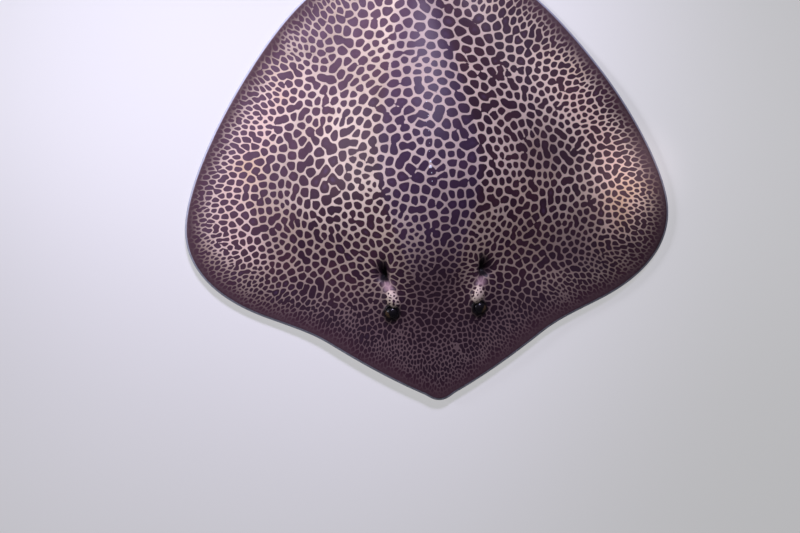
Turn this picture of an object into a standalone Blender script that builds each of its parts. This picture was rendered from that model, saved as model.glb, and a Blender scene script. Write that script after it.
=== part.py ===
"""A honeycomb whipray at rest: a still, life-size model of the whole animal.

The disc is a plate with a shaped top and a shaped underside, both given as heights over a plan.
It is parted by thin cuts into snout, head, trunk, pectoral fins and pelvic fins. The whip tail is
a tapering loft along a gentle S on the ground, parted into five lengths, with one serrated sting.

Frame: metres, +Z up, ground at Z = 0, snout towards -Y, the animal's left side at +X. The origin
is on the flat of the belly. "Behind" is a distance measured backwards from the tip of the snout.
"""
import math

import bmesh
import bpy
import numpy as np
from mathutils import Vector
from mathutils.geometry import delaunay_2d_cdt

COLLECTION = "honeycomb_whipray"

# Plan of the disc: half width against distance behind the snout, as cubic curves. Each row is
# start, two handles, end; a row starts where the last one ended.
BELLY_BEHIND = 0.470          # the origin, behind the tip of the snout
DISC_CURVES = (
    ((0.000, 0.000), (0.010, 0.000), (0.018, 0.004), (0.030, 0.0125)),
    ((0.030, 0.0125), (0.090, 0.042), (0.150, 0.079), (0.215, 0.124)),
    ((0.215, 0.124), (0.255, 0.152), (0.290, 0.164), (0.350, 0.190)),
    ((0.350, 0.190), (0.440, 0.230), (0.500, 0.290), (0.500, 0.370)),
    ((0.500, 0.370), (0.500, 0.440), (0.445, 0.560), (0.380, 0.660)),
    ((0.380, 0.660), (0.315, 0.758), (0.225, 0.875), (0.120, 0.902)),
    ((0.120, 0.902), (0.090, 0.910), (0.060, 0.916), (0.034, 0.917)),
)
PELVIC_CURVES = (
    ((0.132, 0.8985), (0.140, 0.925), (0.128, 0.958), (0.098, 0.964)),
    ((0.098, 0.964), (0.072, 0.968), (0.052, 0.952), (0.0335, 0.934)),
)
CURVE_STEPS = 11              # straight pieces in each of those curves

# Cuts between the parts of the body
CUT = 0.0003                  # width of a cut
SNOUT_END = 0.130             # behind the tip of the snout
HEAD_END = 0.340
TRUNK_END = 0.930
FIN_END = 0.9125
STRIP_KEYS = ((0.10, 0.112), (0.20, 0.128), (0.34, 0.150), (0.50, 0.158), (0.64, 0.138),
              (0.77, 0.095), (0.87, 0.053), (0.915, 0.0345), (0.94, 0.0300))

# Heights of the disc
FIN_RISE = 0.052              # of the broad dome of the disc
FIN_REACH = 0.55              # share of the way out at which the dome's bell falls to 1/e
RIM = 0.0030                  # thickness at the margin
BODY_RISE_KEYS = ((0.00, 0.000), (0.06, 0.002), (0.12, 0.008), (0.20, 0.022), (0.30, 0.041),
                  (0.40, 0.051), (0.50, 0.054), (0.60, 0.052), (0.70, 0.047), (0.80, 0.042),
                  (0.90, 0.0415), (0.94, 0.0410))
BODY_WIDTH_KEYS = ((0.00, 0.040), (0.10, 0.070), (0.20, 0.118), (0.30, 0.148), (0.45, 0.165),
                   (0.60, 0.150), (0.70, 0.118), (0.80, 0.075), (0.88, 0.040), (0.94, 0.0290))
BODY_POWER = 2.4
# Clearance under the margin, against the angle round the disc from straight back (0) to the snout
LIFT_KEYS = ((0.0, 0.0), (0.07, 0.0), (0.25, 0.0035), (1.0, 0.0050), (1.7, 0.0075), (2.3, 0.0130),
             (2.8, 0.0165), (3.1416, 0.0170))
LIFT_START = 0.50             # of the way from the belly to the margin
WAVE = 0.0028                 # ripple of the fin margins
WAVE_COUNT, WAVE_PHASE = 5.0, 1.3
PELVIC_THICKNESS = 0.0045
PELVIC_OVERLAP = 0.86         # of the way out, where the disc thickens to meet its pelvic lobes
PELVIC_RANGE = (0.036, 0.131)              # half widths between which a lobe meets the disc

# Head
EYE_SIDE, EYE_BEHIND = 0.0870, 0.2110      # middle of the brow over each eye
EYE_TURN = math.radians(18)                # the brows draw together towards the snout
BROW_HALF = (0.0112, 0.0190)               # across and along
BROW_RISE = 0.0150
EYE_RADIUS = 0.0142
EYE_OUT, EYE_FORWARD, EYE_SINK = 0.0020, 0.0255, 0.0248     # from the top of the brow
LID_RISE, LID_WIDTH, LID_RADIUS = 0.0055, 0.0032, 0.0134
MOUND_RISE = 0.0060           # of the broad mound that carries a brow and its eye
MOUND_HALF = (0.0240, 0.0330)
MOUND_FORWARD = 0.0140        # from the middle of the brow
SPIRACLE_SIDE, SPIRACLE_BEHIND = 0.0965, 0.2640
SPIRACLE_TURN = math.radians(5)
SPIRACLE_INNER, SPIRACLE_OUTER = 0.0050, 0.0175             # slopes across, from the deepest line
SPIRACLE_FRONT, SPIRACLE_BACK = 0.0135, 0.0200              # and along
SPIRACLE_DEPTH = 0.0230

# Tail
TAIL_LENGTH = 2.05
TAIL_SWING = 0.52             # largest heading off the body's axis, in radians
TAIL_WAVE = 1.95              # length of one whole S
TAIL_CUTS = (0.0, 0.30, 0.72, 1.18, 1.64, TAIL_LENGTH)
TAIL_NAMES = ("tail_base", "tail_fore", "tail_middle", "tail_whip", "tail_tip")
TAIL_HALF_KEYS = ((0.00, 0.0300), (0.06, 0.0235), (0.14, 0.0172), (0.26, 0.0128), (0.40, 0.0098),
                  (0.70, 0.0070), (1.20, 0.0047), (1.70, 0.0030), (2.05, 0.0016))
TAIL_HIGH_KEYS = ((0.00, 0.0450), (0.06, 0.0385), (0.14, 0.0300), (0.26, 0.0225), (0.40, 0.0170),
                  (0.70, 0.0118), (1.20, 0.0080), (1.70, 0.0052), (2.05, 0.0030))
TAIL_BLEND = 0.09             # over which the end of the trunk turns into the round tail
TAIL_SIDES = 9                # points over the top of one section
TAIL_FLAT = 0.55              # of the half width lies flat on the ground
TAIL_WIDEST = 0.40            # of the height, where a section is widest
TAIL_ROUND = 0.9              # power that rounds the top of a section
TAIL_TUCK = 0.12              # of the height, the rise of the corner beside the flat

# Sting
STING_AT = 0.235              # along the tail
STING_LENGTH = 0.098
STING_HALF = 0.0036
STING_THICK = 0.0028
STING_BARBS = 13
STING_RISE = math.radians(3.0)
STING_CLEAR = 0.0004          # over the top of the tail
BARBED_FROM, BARBED_TO = 0.22, 0.93        # of the spine's length
BARB_NOTCH = 0.78             # half width left behind a barb
STING_TAPER = 0.72
STING_THINNING = 0.75

# Spacing of the plan points, on the back and on the underside
SNOUT_STEPS = (0.016, 0.032)
HEAD_STEPS = (0.018, 0.036)
EYE_STEP = 0.0062             # round the brows and spiracles
EYE_ZONE = (0.040, 0.066)     # half width and half length of that zone
EYE_ZONE_BACK = 0.022         # its middle, behind the brow
TRUNK_STEPS = (0.021, 0.042)
FIN_STEPS = (0.023, 0.044)
PELVIC_STEPS = (0.012, 0.020)
ROOT_STEP, TAIL_STEP = 0.020, 0.046        # between sections of the tail

# Plain finishes: colour and roughness
FINISHES = {
    "skin": ((0.11, 0.075, 0.070), 0.45),
    "fin_skin": ((0.14, 0.095, 0.085), 0.45),
    "tail_skin": ((0.045, 0.035, 0.035), 0.55),
    "eye": ((0.02, 0.015, 0.012), 0.08),
    "sting": ((0.62, 0.52, 0.40), 0.45),
}


# ---------------------------------------------------------------- curves and keys

def keyed(at, keys):
    """Read a smooth curve through keys: cubic between them, level beyond the ends."""
    xs, ys = (np.array(column, float) for column in zip(*keys))
    slopes = np.gradient(ys, xs)
    at = np.clip(np.asarray(at, float), xs[0], xs[-1])
    i = np.clip(np.searchsorted(xs, at, side="right") - 1, 0, len(xs) - 2)
    span = xs[i + 1] - xs[i]
    t = (at - xs[i]) / span
    return (ys[i] * (1 + 2 * t) * (1 - t) ** 2 + slopes[i] * span * t * (1 - t) ** 2
            + ys[i + 1] * t * t * (3 - 2 * t) + slopes[i + 1] * span * t * t * (t - 1))


def ease(value):
    """Go smoothly from 0 to 1 as value does."""
    value = np.clip(value, 0.0, 1.0)
    return value * value * (3 - 2 * value)


def joined_curves(curves, steps=CURVE_STEPS):
    """Return points along a chain of cubic curves, ends included."""
    t = np.linspace(0, 1, steps + 1)[:, None]
    rows = []
    for a, b, c, d in (np.array(row) for row in curves):
        rows.append(a * (1 - t) ** 3 + 3 * b * t * (1 - t) ** 2 + 3 * c * t * t * (1 - t) + d * t ** 3)
    return np.concatenate([row[:-1] for row in rows] + [rows[-1][-1:]])


HALF_OUTLINE = joined_curves(DISC_CURVES, 40)


def margin_radius(angle):
    """Distance from the belly's origin to the margin, by the angle from straight back."""
    run = HALF_OUTLINE[:, 1] - BELLY_BEHIND
    angles = np.arctan2(HALF_OUTLINE[:, 0], run)[::-1]
    return np.interp(angle, angles, np.hypot(HALF_OUTLINE[:, 0], run)[::-1])


# ---------------------------------------------------------------- heights over the plan

def polar(side, behind):
    """Angle from straight back, and the share of the way from the origin to the margin."""
    angle = np.arctan2(np.abs(side), behind - BELLY_BEHIND)
    return angle, np.hypot(side, behind - BELLY_BEHIND) / margin_radius(angle)


def underside(side, behind):
    """Height of the underside: flat under the belly, lifted a little at the margins."""
    angle, share = polar(side, behind)
    ripple = WAVE * np.sin(WAVE_COUNT * angle + WAVE_PHASE * np.sign(side)) * ease((angle - 0.15) / 0.5)
    ripple = ripple * ease((2.6 - angle) / 0.5)
    lift = np.maximum(keyed(angle, LIFT_KEYS) + ripple, 0.0)
    return lift * ease((share - LIFT_START) / (1 - LIFT_START))


def turned(side, behind, middle_side, middle_behind, turn):
    """Offsets across and along an oval on each side of the head, whose front turns inwards."""
    across, along = np.abs(side) - middle_side, behind - middle_behind
    return (across * math.cos(turn) - along * math.sin(turn),
            across * math.sin(turn) + along * math.cos(turn))


def head_relief(side, behind):
    """Brows over the eyes on low mounds, the lids round the eyes, and the sunk spiracles behind."""
    u, v = turned(side, behind, EYE_SIDE, EYE_BEHIND, EYE_TURN)
    brow = BROW_RISE * np.exp(-0.9 * ((u / BROW_HALF[0]) ** 2 + (v / BROW_HALF[1]) ** 2) ** 1.5)
    out = np.hypot(np.abs(side) - EYE_SIDE - EYE_OUT, behind - EYE_BEHIND + EYE_FORWARD)
    lid = LID_RISE * np.exp(-((out - LID_RADIUS) / LID_WIDTH) ** 2)
    u, v = turned(side, behind + MOUND_FORWARD, EYE_SIDE, EYE_BEHIND, EYE_TURN)
    mound = MOUND_RISE * np.exp(-((u / MOUND_HALF[0]) ** 2 + (v / MOUND_HALF[1]) ** 2) ** 1.4)
    u, v = turned(side, behind, SPIRACLE_SIDE, SPIRACLE_BEHIND, SPIRACLE_TURN)
    across = u / np.where(u > 0, SPIRACLE_OUTER, SPIRACLE_INNER)
    along = v / np.where(v > 0, SPIRACLE_BACK, SPIRACLE_FRONT)
    return np.maximum(brow, lid) + mound - SPIRACLE_DEPTH * np.exp(-(across ** 2 + along ** 2))


def fin_profile(share):
    """Share of the dome's rise: a bell, thin and nearly level on the wings, 0 at the margin."""
    last = math.exp(-1 / FIN_REACH ** 2)
    return (np.exp(-(np.minimum(share, 1.0) / FIN_REACH) ** 2) - last) / (1 - last)


def topside(side, behind):
    """Height of the back: a broad dome, the body's ridge over it, and the head's relief."""
    angle, share = polar(side, behind)
    dome = FIN_RISE * fin_profile(share)
    ridge = np.exp(-(np.abs(side) / keyed(behind, BODY_WIDTH_KEYS)) ** BODY_POWER)
    body = keyed(behind, BODY_RISE_KEYS) * ridge
    past = ease((share - 1.0) / 0.006)
    over_lobe = (PELVIC_THICKNESS * ease((0.30 - angle) / 0.05)
                 * ease((np.abs(side) - PELVIC_RANGE[0]) / 0.012)
                 * ease((share - PELVIC_OVERLAP) / 0.1) * (1 - past))
    lobe = (PELVIC_THICKNESS - RIM) * past
    return underside(side, behind) + RIM + dome + body + over_lobe + lobe + head_relief(side, behind)


# ---------------------------------------------------------------- building

def clear_scene():
    """Remove what the scene starts with."""
    for thing in list(bpy.data.objects):
        bpy.data.objects.remove(thing, do_unlink=True)


def material(name):
    """Make one of the plain finishes."""
    colour, roughness = FINISHES[name]
    made = bpy.data.materials.new(name)
    made.use_nodes = True
    shader = made.node_tree.nodes["Principled BSDF"]
    shader.inputs["Base Color"].default_value = (*colour, 1.0)
    shader.inputs["Roughness"].default_value = roughness
    shader.inputs["Metallic"].default_value = 0.0
    return made


def add_object(name, points, faces, finish, smooth_angle=50):
    """Make one closed mesh object in the part's collection, faces pointing out."""
    mesh = bpy.data.meshes.new(name)
    mesh.from_pydata([tuple(p) for p in points], [], [tuple(int(i) for i in face) for face in faces])
    body = bmesh.new()
    body.from_mesh(mesh)
    bmesh.ops.remove_doubles(body, verts=body.verts, dist=1e-6)
    bmesh.ops.recalc_face_normals(body, faces=body.faces)
    body.to_mesh(mesh)
    body.free()
    mesh.materials.append(finish)
    mesh.shade_smooth()
    mesh.set_sharp_from_angle(angle=math.radians(smooth_angle))
    made = bpy.data.objects.new(name, mesh)
    bpy.data.collections[COLLECTION].objects.link(made)
    return made


def inside(points, outline):
    """Tell which points of the plan lie inside a closed outline."""
    x, y = points[:, 0, None], points[:, 1, None]
    a, b = outline, np.roll(outline, -1, axis=0)
    spans = (a[:, 1] > y) != (b[:, 1] > y)
    rise = np.where(b[:, 1] == a[:, 1], 1e-12, b[:, 1] - a[:, 1])
    crossing = a[:, 0] + (y - a[:, 1]) / rise * (b[:, 0] - a[:, 0])
    return (np.sum(spans & (x < crossing), axis=1) % 2) == 1


def clear_of(points, outline, gap):
    """Tell which points keep a gap to every side of an outline."""
    a, b = outline[None], np.roll(outline, -1, axis=0)[None]
    p = points[:, None]
    t = np.clip(((p - a) * (b - a)).sum(2) / np.maximum(((b - a) ** 2).sum(2), 1e-12), 0, 1)
    return np.hypot(*np.moveaxis(p - a - t[..., None] * (b - a), 2, 0)).min(1) > gap


def lattice(low, high, step):
    """Return a staggered lattice of plan points, mirrored about the body's axis."""
    rows = np.arange(low[1], high[1], step * 0.87)
    count = int(math.ceil(max(abs(low[0]), abs(high[0])) / step)) + 1
    base = np.arange(-count, count + 1) * step
    points = [np.stack([base + (0.5 * step if i % 2 else 0.0), np.full(len(base), row)], 1)
              for i, row in enumerate(rows)]
    return np.concatenate(points)


def filled(outline, steps):
    """Triangulate an outline over a lattice; steps gives a spacing for each plan region.

    Each entry of steps is a spacing and a test that says where it holds.
    """
    inner = []
    for step, holds in steps:
        points = lattice(outline.min(0), outline.max(0), step)
        points = points[inside(points, outline)]
        points = points[clear_of(points, outline, step * 0.45)]
        inner.append(points[holds(points)])
    every = np.concatenate([outline] + inner)
    return every, triangles_inside(every, outline)


def triangles_inside(points, outline):
    """Triangulate plan points, of which the first are an outline, and keep what is inside it."""
    ring = [(i, (i + 1) % len(outline)) for i in range(len(outline))]
    _, _, faces, sources, *_ = delaunay_2d_cdt([Vector(p) for p in points.tolist()], ring, [],
                                               1, 1e-7, True)
    given = [source[0] for source in sources]
    faces = np.array([[given[i] for i in face] for face in faces])
    return faces[inside(points[faces].mean(1), outline)]


def slab(name, outline, top_steps, bottom_steps, finish):
    """Make a part of the disc: the plan outline closed between the back and the underside."""
    top, top_faces = filled(outline, top_steps)
    bottom, bottom_faces = filled(outline, bottom_steps)
    count = len(outline)
    points = [(p[0], p[1] - BELLY_BEHIND, z) for p, z in zip(top, topside(*top.T))]
    points += [(p[0], p[1] - BELLY_BEHIND, z) for p, z in zip(bottom, underside(*bottom.T))]
    shift = len(top)
    faces = list(top_faces) + list(shift + bottom_faces[:, ::-1])
    for i in range(count):
        j = (i + 1) % count
        faces += [(i, shift + i, shift + j), (i, shift + j, j)]
    return add_object(name, points, faces, finish)


def everywhere(points):
    """Hold at every point of the plan."""
    return np.ones(len(points), bool)


def plain_steps(steps):
    """Pair the spacings of the back and of the underside with the whole plan."""
    return [(steps[0], everywhere)], [(steps[1], everywhere)]


def near_eyes(points):
    """Hold round the brows and spiracles."""
    side, behind = np.abs(points[:, 0]) - EYE_SIDE, points[:, 1] - EYE_BEHIND - EYE_ZONE_BACK
    return (side / EYE_ZONE[0]) ** 2 + (behind / EYE_ZONE[1]) ** 2 < 1


def off_eyes(points):
    """Hold away from the brows and spiracles."""
    return ~near_eyes(points)


def strip_edge(behind, gap):
    """Half width of the head and trunk between the fins, widened by a gap."""
    return keyed(behind, STRIP_KEYS) + gap


def outline_between(start, end):
    """Points of the disc's margin on the +X side whose distance behind the snout lies in a range."""
    margin = joined_curves(DISC_CURVES)
    dense = joined_curves(DISC_CURVES, 200)
    first, last = (np.array([np.interp(cut, dense[:, 1], dense[:, 0]), cut]) for cut in (start, end))
    kept = margin[(margin[:, 1] > start + 0.004) & (margin[:, 1] < end - 0.0008)]
    return np.concatenate([first[None], kept, last[None]])


def mirrored(points):
    """Mirror plan points to the other side, keeping the outline's sense of turn."""
    return (points * (-1, 1))[::-1]


def across(behind, half, count):
    """Points of a straight cut across the body, from -X to +X, without its ends."""
    return np.stack([np.linspace(-half, half, count + 1)[1:-1], np.full(count - 1, behind)], 1)


def along_strip(start, end, gap):
    """Points of the strip's edge on the +X side, front to back, at stations that neighbours share."""
    shared = np.concatenate([np.linspace(SNOUT_END, HEAD_END, 12), np.linspace(HEAD_END, FIN_END, 27)[1:]])
    behind = np.concatenate([[start], shared[(shared > start + 0.001) & (shared < end - 0.001)], [end]])
    return np.stack([strip_edge(behind, gap), behind], 1)


def build_snout(finish):
    """The wedge in front of the head, out to the margin."""
    margin = outline_between(0.0, SNOUT_END - CUT / 2)
    rear = across(SNOUT_END - CUT / 2, margin[-1, 0], 14)
    outline = np.concatenate([margin, rear[::-1], mirrored(margin)[:-1]])
    slab("snout", outline, *plain_steps(SNOUT_STEPS), finish)


def eye_places():
    """Return the middle of each eyeball, by the name of its side."""
    side, behind = EYE_SIDE + EYE_OUT, EYE_BEHIND - EYE_FORWARD
    brow_top = float(topside(np.array([EYE_SIDE]), np.array([EYE_BEHIND]))[0])
    return {name: Vector((sign * side, behind - BELLY_BEHIND, brow_top - EYE_SINK))
            for name, sign in (("left", 1), ("right", -1))}


def build_head(finish):
    """The middle of the body from the snout to behind the spiracles, with sockets for the eyes."""
    edge = along_strip(SNOUT_END + CUT / 2, HEAD_END - CUT / 2, -CUT / 2)
    front = across(SNOUT_END + CUT / 2, edge[0, 0], 10)
    rear = across(HEAD_END - CUT / 2, edge[-1, 0], 10)
    outline = np.concatenate([front, edge, rear[::-1], mirrored(edge)])
    head = slab("head", outline, [(HEAD_STEPS[0], off_eyes), (EYE_STEP, near_eyes)],
                [(HEAD_STEPS[1], everywhere)], finish)
    for name, middle in eye_places().items():
        bpy.ops.mesh.primitive_uv_sphere_add(segments=20, ring_count=12, radius=EYE_RADIUS + CUT,
                                             location=middle, rotation=(0, math.radians(90), 0))
        cutter = bpy.context.object
        cutter.name = f"socket_{name}"
        cutter.hide_render = True
        cutter.display_type = "WIRE"
        for collection in list(cutter.users_collection):
            collection.objects.unlink(cutter)
        bpy.data.collections["cutters"].objects.link(cutter)
        cut = head.modifiers.new(cutter.name, "BOOLEAN")
        cut.operation = "DIFFERENCE"
        cut.object = cutter


def build_trunk(finish):
    """The middle of the body from the head to the root of the tail."""
    edge = along_strip(HEAD_END + CUT / 2, TRUNK_END - CUT / 2, -CUT / 2)
    front = across(HEAD_END + CUT / 2, edge[0, 0], 10)
    rear = across(TRUNK_END - CUT / 2, edge[-1, 0], 8)
    outline = np.concatenate([front, edge, rear[::-1], mirrored(edge)])
    slab("trunk", outline, *plain_steps(TRUNK_STEPS), finish)


def build_pectoral_fins(finish):
    """The wings of the disc, from the snout to the pelvic fins."""
    margin = outline_between(SNOUT_END + CUT / 2, FIN_END)
    edge = along_strip(SNOUT_END + CUT / 2, FIN_END, CUT / 2)
    front = np.linspace(edge[0], margin[0], 6)[1:-1]
    outline = np.concatenate([front, margin, edge[::-1]])
    slab("pectoral_fin_left", outline, *plain_steps(FIN_STEPS), finish)
    slab("pectoral_fin_right", mirrored(outline), *plain_steps(FIN_STEPS), finish)


def build_pelvic_fins(finish):
    """The small lobes that show behind the disc on each side of the tail."""
    rear = outline_between(0.88, 0.9169)
    rear = rear[(rear[:, 0] > PELVIC_RANGE[0]) & (rear[:, 0] < PELVIC_RANGE[1])] + (0, CUT * 1.5)
    lobe = joined_curves(PELVIC_CURVES, 9)
    edge = along_strip(0.9185, 0.932, CUT)
    outline = np.concatenate([rear[::-1], lobe, edge[::-1]])
    slab("pelvic_fin_left", outline, *plain_steps(PELVIC_STEPS), finish)
    slab("pelvic_fin_right", mirrored(outline), *plain_steps(PELVIC_STEPS), finish)


def build_eyes(finish):
    """The eyeballs, which look out to the sides from under the brows."""
    for name, middle in eye_places().items():
        bpy.ops.mesh.primitive_uv_sphere_add(segments=18, ring_count=11, radius=EYE_RADIUS,
                                             location=middle, rotation=(0, math.radians(90), 0))
        eye = bpy.context.object
        eye.name = f"eye_{name}"
        eye.data.materials.append(finish)
        eye.data.shade_smooth()
        for collection in list(eye.users_collection):
            collection.objects.unlink(eye)
        bpy.data.collections[COLLECTION].objects.link(eye)


# ---------------------------------------------------------------- tail

def tail_line(count=821):
    """Return distance along the tail, plan points and headings, dense enough to read between."""
    along = np.linspace(0, TAIL_LENGTH, count)
    heading = TAIL_SWING * np.sin(2 * math.pi * along / TAIL_WAVE) * ease(along / 0.35)
    step = along[1] - along[0]
    x = np.concatenate([[0], np.cumsum(np.sin(heading[:-1]) * step)])
    y = np.concatenate([[0], np.cumsum(np.cos(heading[:-1]) * step)])
    return along, x, y + TRUNK_END - BELLY_BEHIND, heading


def tail_section(at):
    """Return the points of one section of the tail, going round from its -X edge over the top."""
    along, xs, ys, headings = tail_line()
    x, y, heading = (float(np.interp(at, along, row)) for row in (xs, ys, headings))
    half, high = float(keyed(at, TAIL_HALF_KEYS)), float(keyed(at, TAIL_HIGH_KEYS))
    turn = np.linspace(math.pi, 0, TAIL_SIDES)
    low = TAIL_WIDEST * high
    side_top = np.cos(turn)
    round_top = low + (high - low) * np.sin(turn) ** TAIL_ROUND
    root_top = topside(side_top * strip_edge(TRUNK_END, 0), np.full(TAIL_SIDES, TRUNK_END))
    blend = float(ease(at / TAIL_BLEND))
    top = root_top * (1 - blend) + round_top * blend
    side_low = np.array([TAIL_FLAT + 0.28, TAIL_FLAT, -TAIL_FLAT, -TAIL_FLAT - 0.28])
    rise = np.array([TAIL_TUCK * high * blend, 0, 0, TAIL_TUCK * high * blend])
    side, z = np.concatenate([side_top, side_low]) * half, np.concatenate([top, rise])
    return np.stack([x + side * math.cos(heading), y - side * math.sin(heading), z], 1)


def build_tail(finish):
    """The five lengths of the tail, each a closed loft."""
    for name, start, end in zip(TAIL_NAMES, TAIL_CUTS[:-1], TAIL_CUTS[1:]):
        first = start + CUT / 2
        last = end - (CUT / 2 if end < TAIL_LENGTH else 0)
        spacing = ROOT_STEP if start == 0 else TAIL_STEP
        rings = max(4, int(round((last - first) / spacing)))
        rows = [tail_section(at) for at in np.linspace(first, last, rings + 1)]
        count = len(rows[0])
        faces = [tuple(range(count))[::-1], tuple(rings * count + i for i in range(count))]
        for i in range(rings):
            for j in range(count):
                k = (j + 1) % count
                a, b, c, d = (i * count + j, i * count + k, (i + 1) * count + k, (i + 1) * count + j)
                faces += [(a, b, c), (a, c, d)]
        add_object(name, np.concatenate(rows), faces, finish)


def build_sting(finish):
    """A flat serrated spine lying back along the top of the tail."""
    along, xs, ys, headings = tail_line()
    x, y, heading = (float(np.interp(STING_AT, along, row)) for row in (xs, ys, headings))
    edge = [(-STING_HALF * 0.75, 0.0)]
    reach = (BARBED_TO - BARBED_FROM) * STING_LENGTH / STING_BARBS
    for i in range(STING_BARBS):
        at = BARBED_FROM * STING_LENGTH + reach * i
        half = STING_HALF * (1 - STING_TAPER * (i / STING_BARBS) ** 1.5)
        edge.append((-half, at))
        edge.append((-half * BARB_NOTCH - 0.0002, at + reach * 0.25))
    right = [(0.0, STING_LENGTH)] + [(-a, b) for a, b in reversed(edge)]
    outline = edge + right
    mesh_points, count = [], len(outline)
    base = float(keyed(STING_AT, TAIL_HIGH_KEYS)) + STING_CLEAR
    for layer in (0, 1):
        for a, b in outline:
            crown = STING_THICK * (1 - STING_THINNING * b / STING_LENGTH) if layer else 0.0
            z = base + b * math.sin(STING_RISE) + crown
            mesh_points.append((x + a * math.cos(heading) + b * math.sin(heading),
                                y - a * math.sin(heading) + b * math.cos(heading), z))
    flat = triangles_inside(np.array(outline), np.array(outline))
    faces = list(flat[:, ::-1]) + list(count + flat)
    for i in range(count):
        j = (i + 1) % count
        faces += [(i, j, count + j), (i, count + j, count + i)]
    add_object("tail_sting", mesh_points, faces, finish, smooth_angle=30)


def main():
    """Build the whole animal."""
    clear_scene()
    for name in (COLLECTION, "cutters"):
        bpy.context.scene.collection.children.link(bpy.data.collections.new(name))
    finish = {name: material(name) for name in FINISHES}
    build_snout(finish["skin"])
    build_head(finish["skin"])
    build_trunk(finish["skin"])
    build_pectoral_fins(finish["fin_skin"])
    build_pelvic_fins(finish["fin_skin"])
    build_tail(finish["tail_skin"])
    build_sting(finish["sting"])
    build_eyes(finish["eye"])


main()
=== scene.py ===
"""Looks of a honeycomb whipray lying at rest: netted skin, brows and eyes, spiracles, whip tail, sting.

The back, the underside and the tail are one closed skin. Heights over the plan of the disc follow
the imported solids; the netting is worked out as walls between relaxed cells whose size and stretch
follow the body, and is carried to the skin as attributes.

Lengths in the body classes are shares of the disc's width unless a name says otherwise.
"Behind" is a distance measured backwards from the tip of the snout.
"""

import logging
import math
from dataclasses import dataclass, field
from enum import Enum
from typing import Callable

import bpy
import numpy as np
from mathutils import Matrix, Vector
from mathutils.geometry import delaunay_2d_cdt

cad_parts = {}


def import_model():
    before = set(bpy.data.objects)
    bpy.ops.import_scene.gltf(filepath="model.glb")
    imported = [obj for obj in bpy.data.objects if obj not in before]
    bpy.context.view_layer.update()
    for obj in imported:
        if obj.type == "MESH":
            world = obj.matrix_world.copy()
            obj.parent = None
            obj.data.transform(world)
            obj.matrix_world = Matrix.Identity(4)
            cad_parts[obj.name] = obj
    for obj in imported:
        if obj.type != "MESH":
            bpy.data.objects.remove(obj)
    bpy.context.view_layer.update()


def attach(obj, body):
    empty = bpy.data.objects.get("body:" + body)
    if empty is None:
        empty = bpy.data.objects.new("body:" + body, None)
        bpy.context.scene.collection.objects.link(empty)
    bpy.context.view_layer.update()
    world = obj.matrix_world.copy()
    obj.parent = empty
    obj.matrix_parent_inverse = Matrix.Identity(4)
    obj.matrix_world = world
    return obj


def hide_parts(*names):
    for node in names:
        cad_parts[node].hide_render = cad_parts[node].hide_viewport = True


Array = np.ndarray
Pair = tuple[float, float]
Point = tuple[float, float, float]
Colour = tuple[float, float, float]
Keys = tuple[Pair, ...]
LOG = logging.getLogger("whipray")
ROOT_BODY = "root"
KINDS = 6                     # of cell, enough that neighbours can differ

# Places worked out at a time, which bounds the memory used
GAP_ROWS = 8000
CROSSING_ROWS = 20000
SEED_ROWS = 6000
READ_ROWS = 5000


# ---------------------------------------------------------------- small numeric tools

def keyed(at: Array | float, keys: Keys) -> Array:
    """Read a smooth curve through keys: cubic between them, level beyond the ends.

    Args:
        at: where to read it.
        keys: pairs of place and value, places rising.

    Returns:
        The values, in the shape of at.
    """
    xs, ys = (np.array(column, float) for column in zip(*keys))
    slopes = np.gradient(ys, xs)
    at = np.clip(np.asarray(at, float), xs[0], xs[-1])
    i = np.clip(np.searchsorted(xs, at, side="right") - 1, 0, len(xs) - 2)
    span = xs[i + 1] - xs[i]
    t = (at - xs[i]) / span
    return (ys[i] * (1 + 2 * t) * (1 - t) ** 2 + slopes[i] * span * t * (1 - t) ** 2
            + ys[i + 1] * t * t * (3 - 2 * t) + slopes[i + 1] * span * t * t * (t - 1))


def ease(value: Array | float) -> Array:
    """Go smoothly from 0 to 1 as value does."""
    value = np.clip(value, 0.0, 1.0)
    return value * value * (3 - 2 * value)


def joined_curves(curves: tuple, steps: int) -> Array:
    """Return points along a chain of cubic curves, ends included, steps to each curve."""
    t = np.linspace(0, 1, steps + 1)[:, None]
    rows = [np.array(a) * (1 - t) ** 3 + 3 * np.array(b) * t * (1 - t) ** 2
            + 3 * np.array(c) * t * t * (1 - t) + np.array(d) * t ** 3 for a, b, c, d in curves]
    return np.concatenate([row[:-1] for row in rows] + [rows[-1][-1:]])


def evenly(points: Array, step: float) -> Array:
    """Walk a line of plan points at an even step, keeping both ends."""
    run = np.concatenate([[0], np.cumsum(np.hypot(*np.diff(points, axis=0).T))])
    count = max(2, int(round(run[-1] / step)))
    at = np.linspace(0, run[-1], count + 1)
    return np.stack([np.interp(at, run, points[:, 0]), np.interp(at, run, points[:, 1])], 1)


def gap_to(points: Array, line: Array) -> Array:
    """Distance from each plan point to an open line of points, by its nearest straight piece."""
    a, b = line[:-1], line[1:]
    side = (b - a).astype(np.float32)
    length = np.maximum((side ** 2).sum(1), 1e-14)
    out = np.empty(len(points), np.float32)
    for start in range(0, len(points), GAP_ROWS):
        rows = slice(start, start + GAP_ROWS)
        p = points[rows, None].astype(np.float32) - a[None].astype(np.float32)
        t = np.clip((p * side).sum(2) / length, 0, 1)
        out[rows] = np.sqrt(((p - t[..., None] * side) ** 2).sum(2).min(1))
    return out


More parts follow.
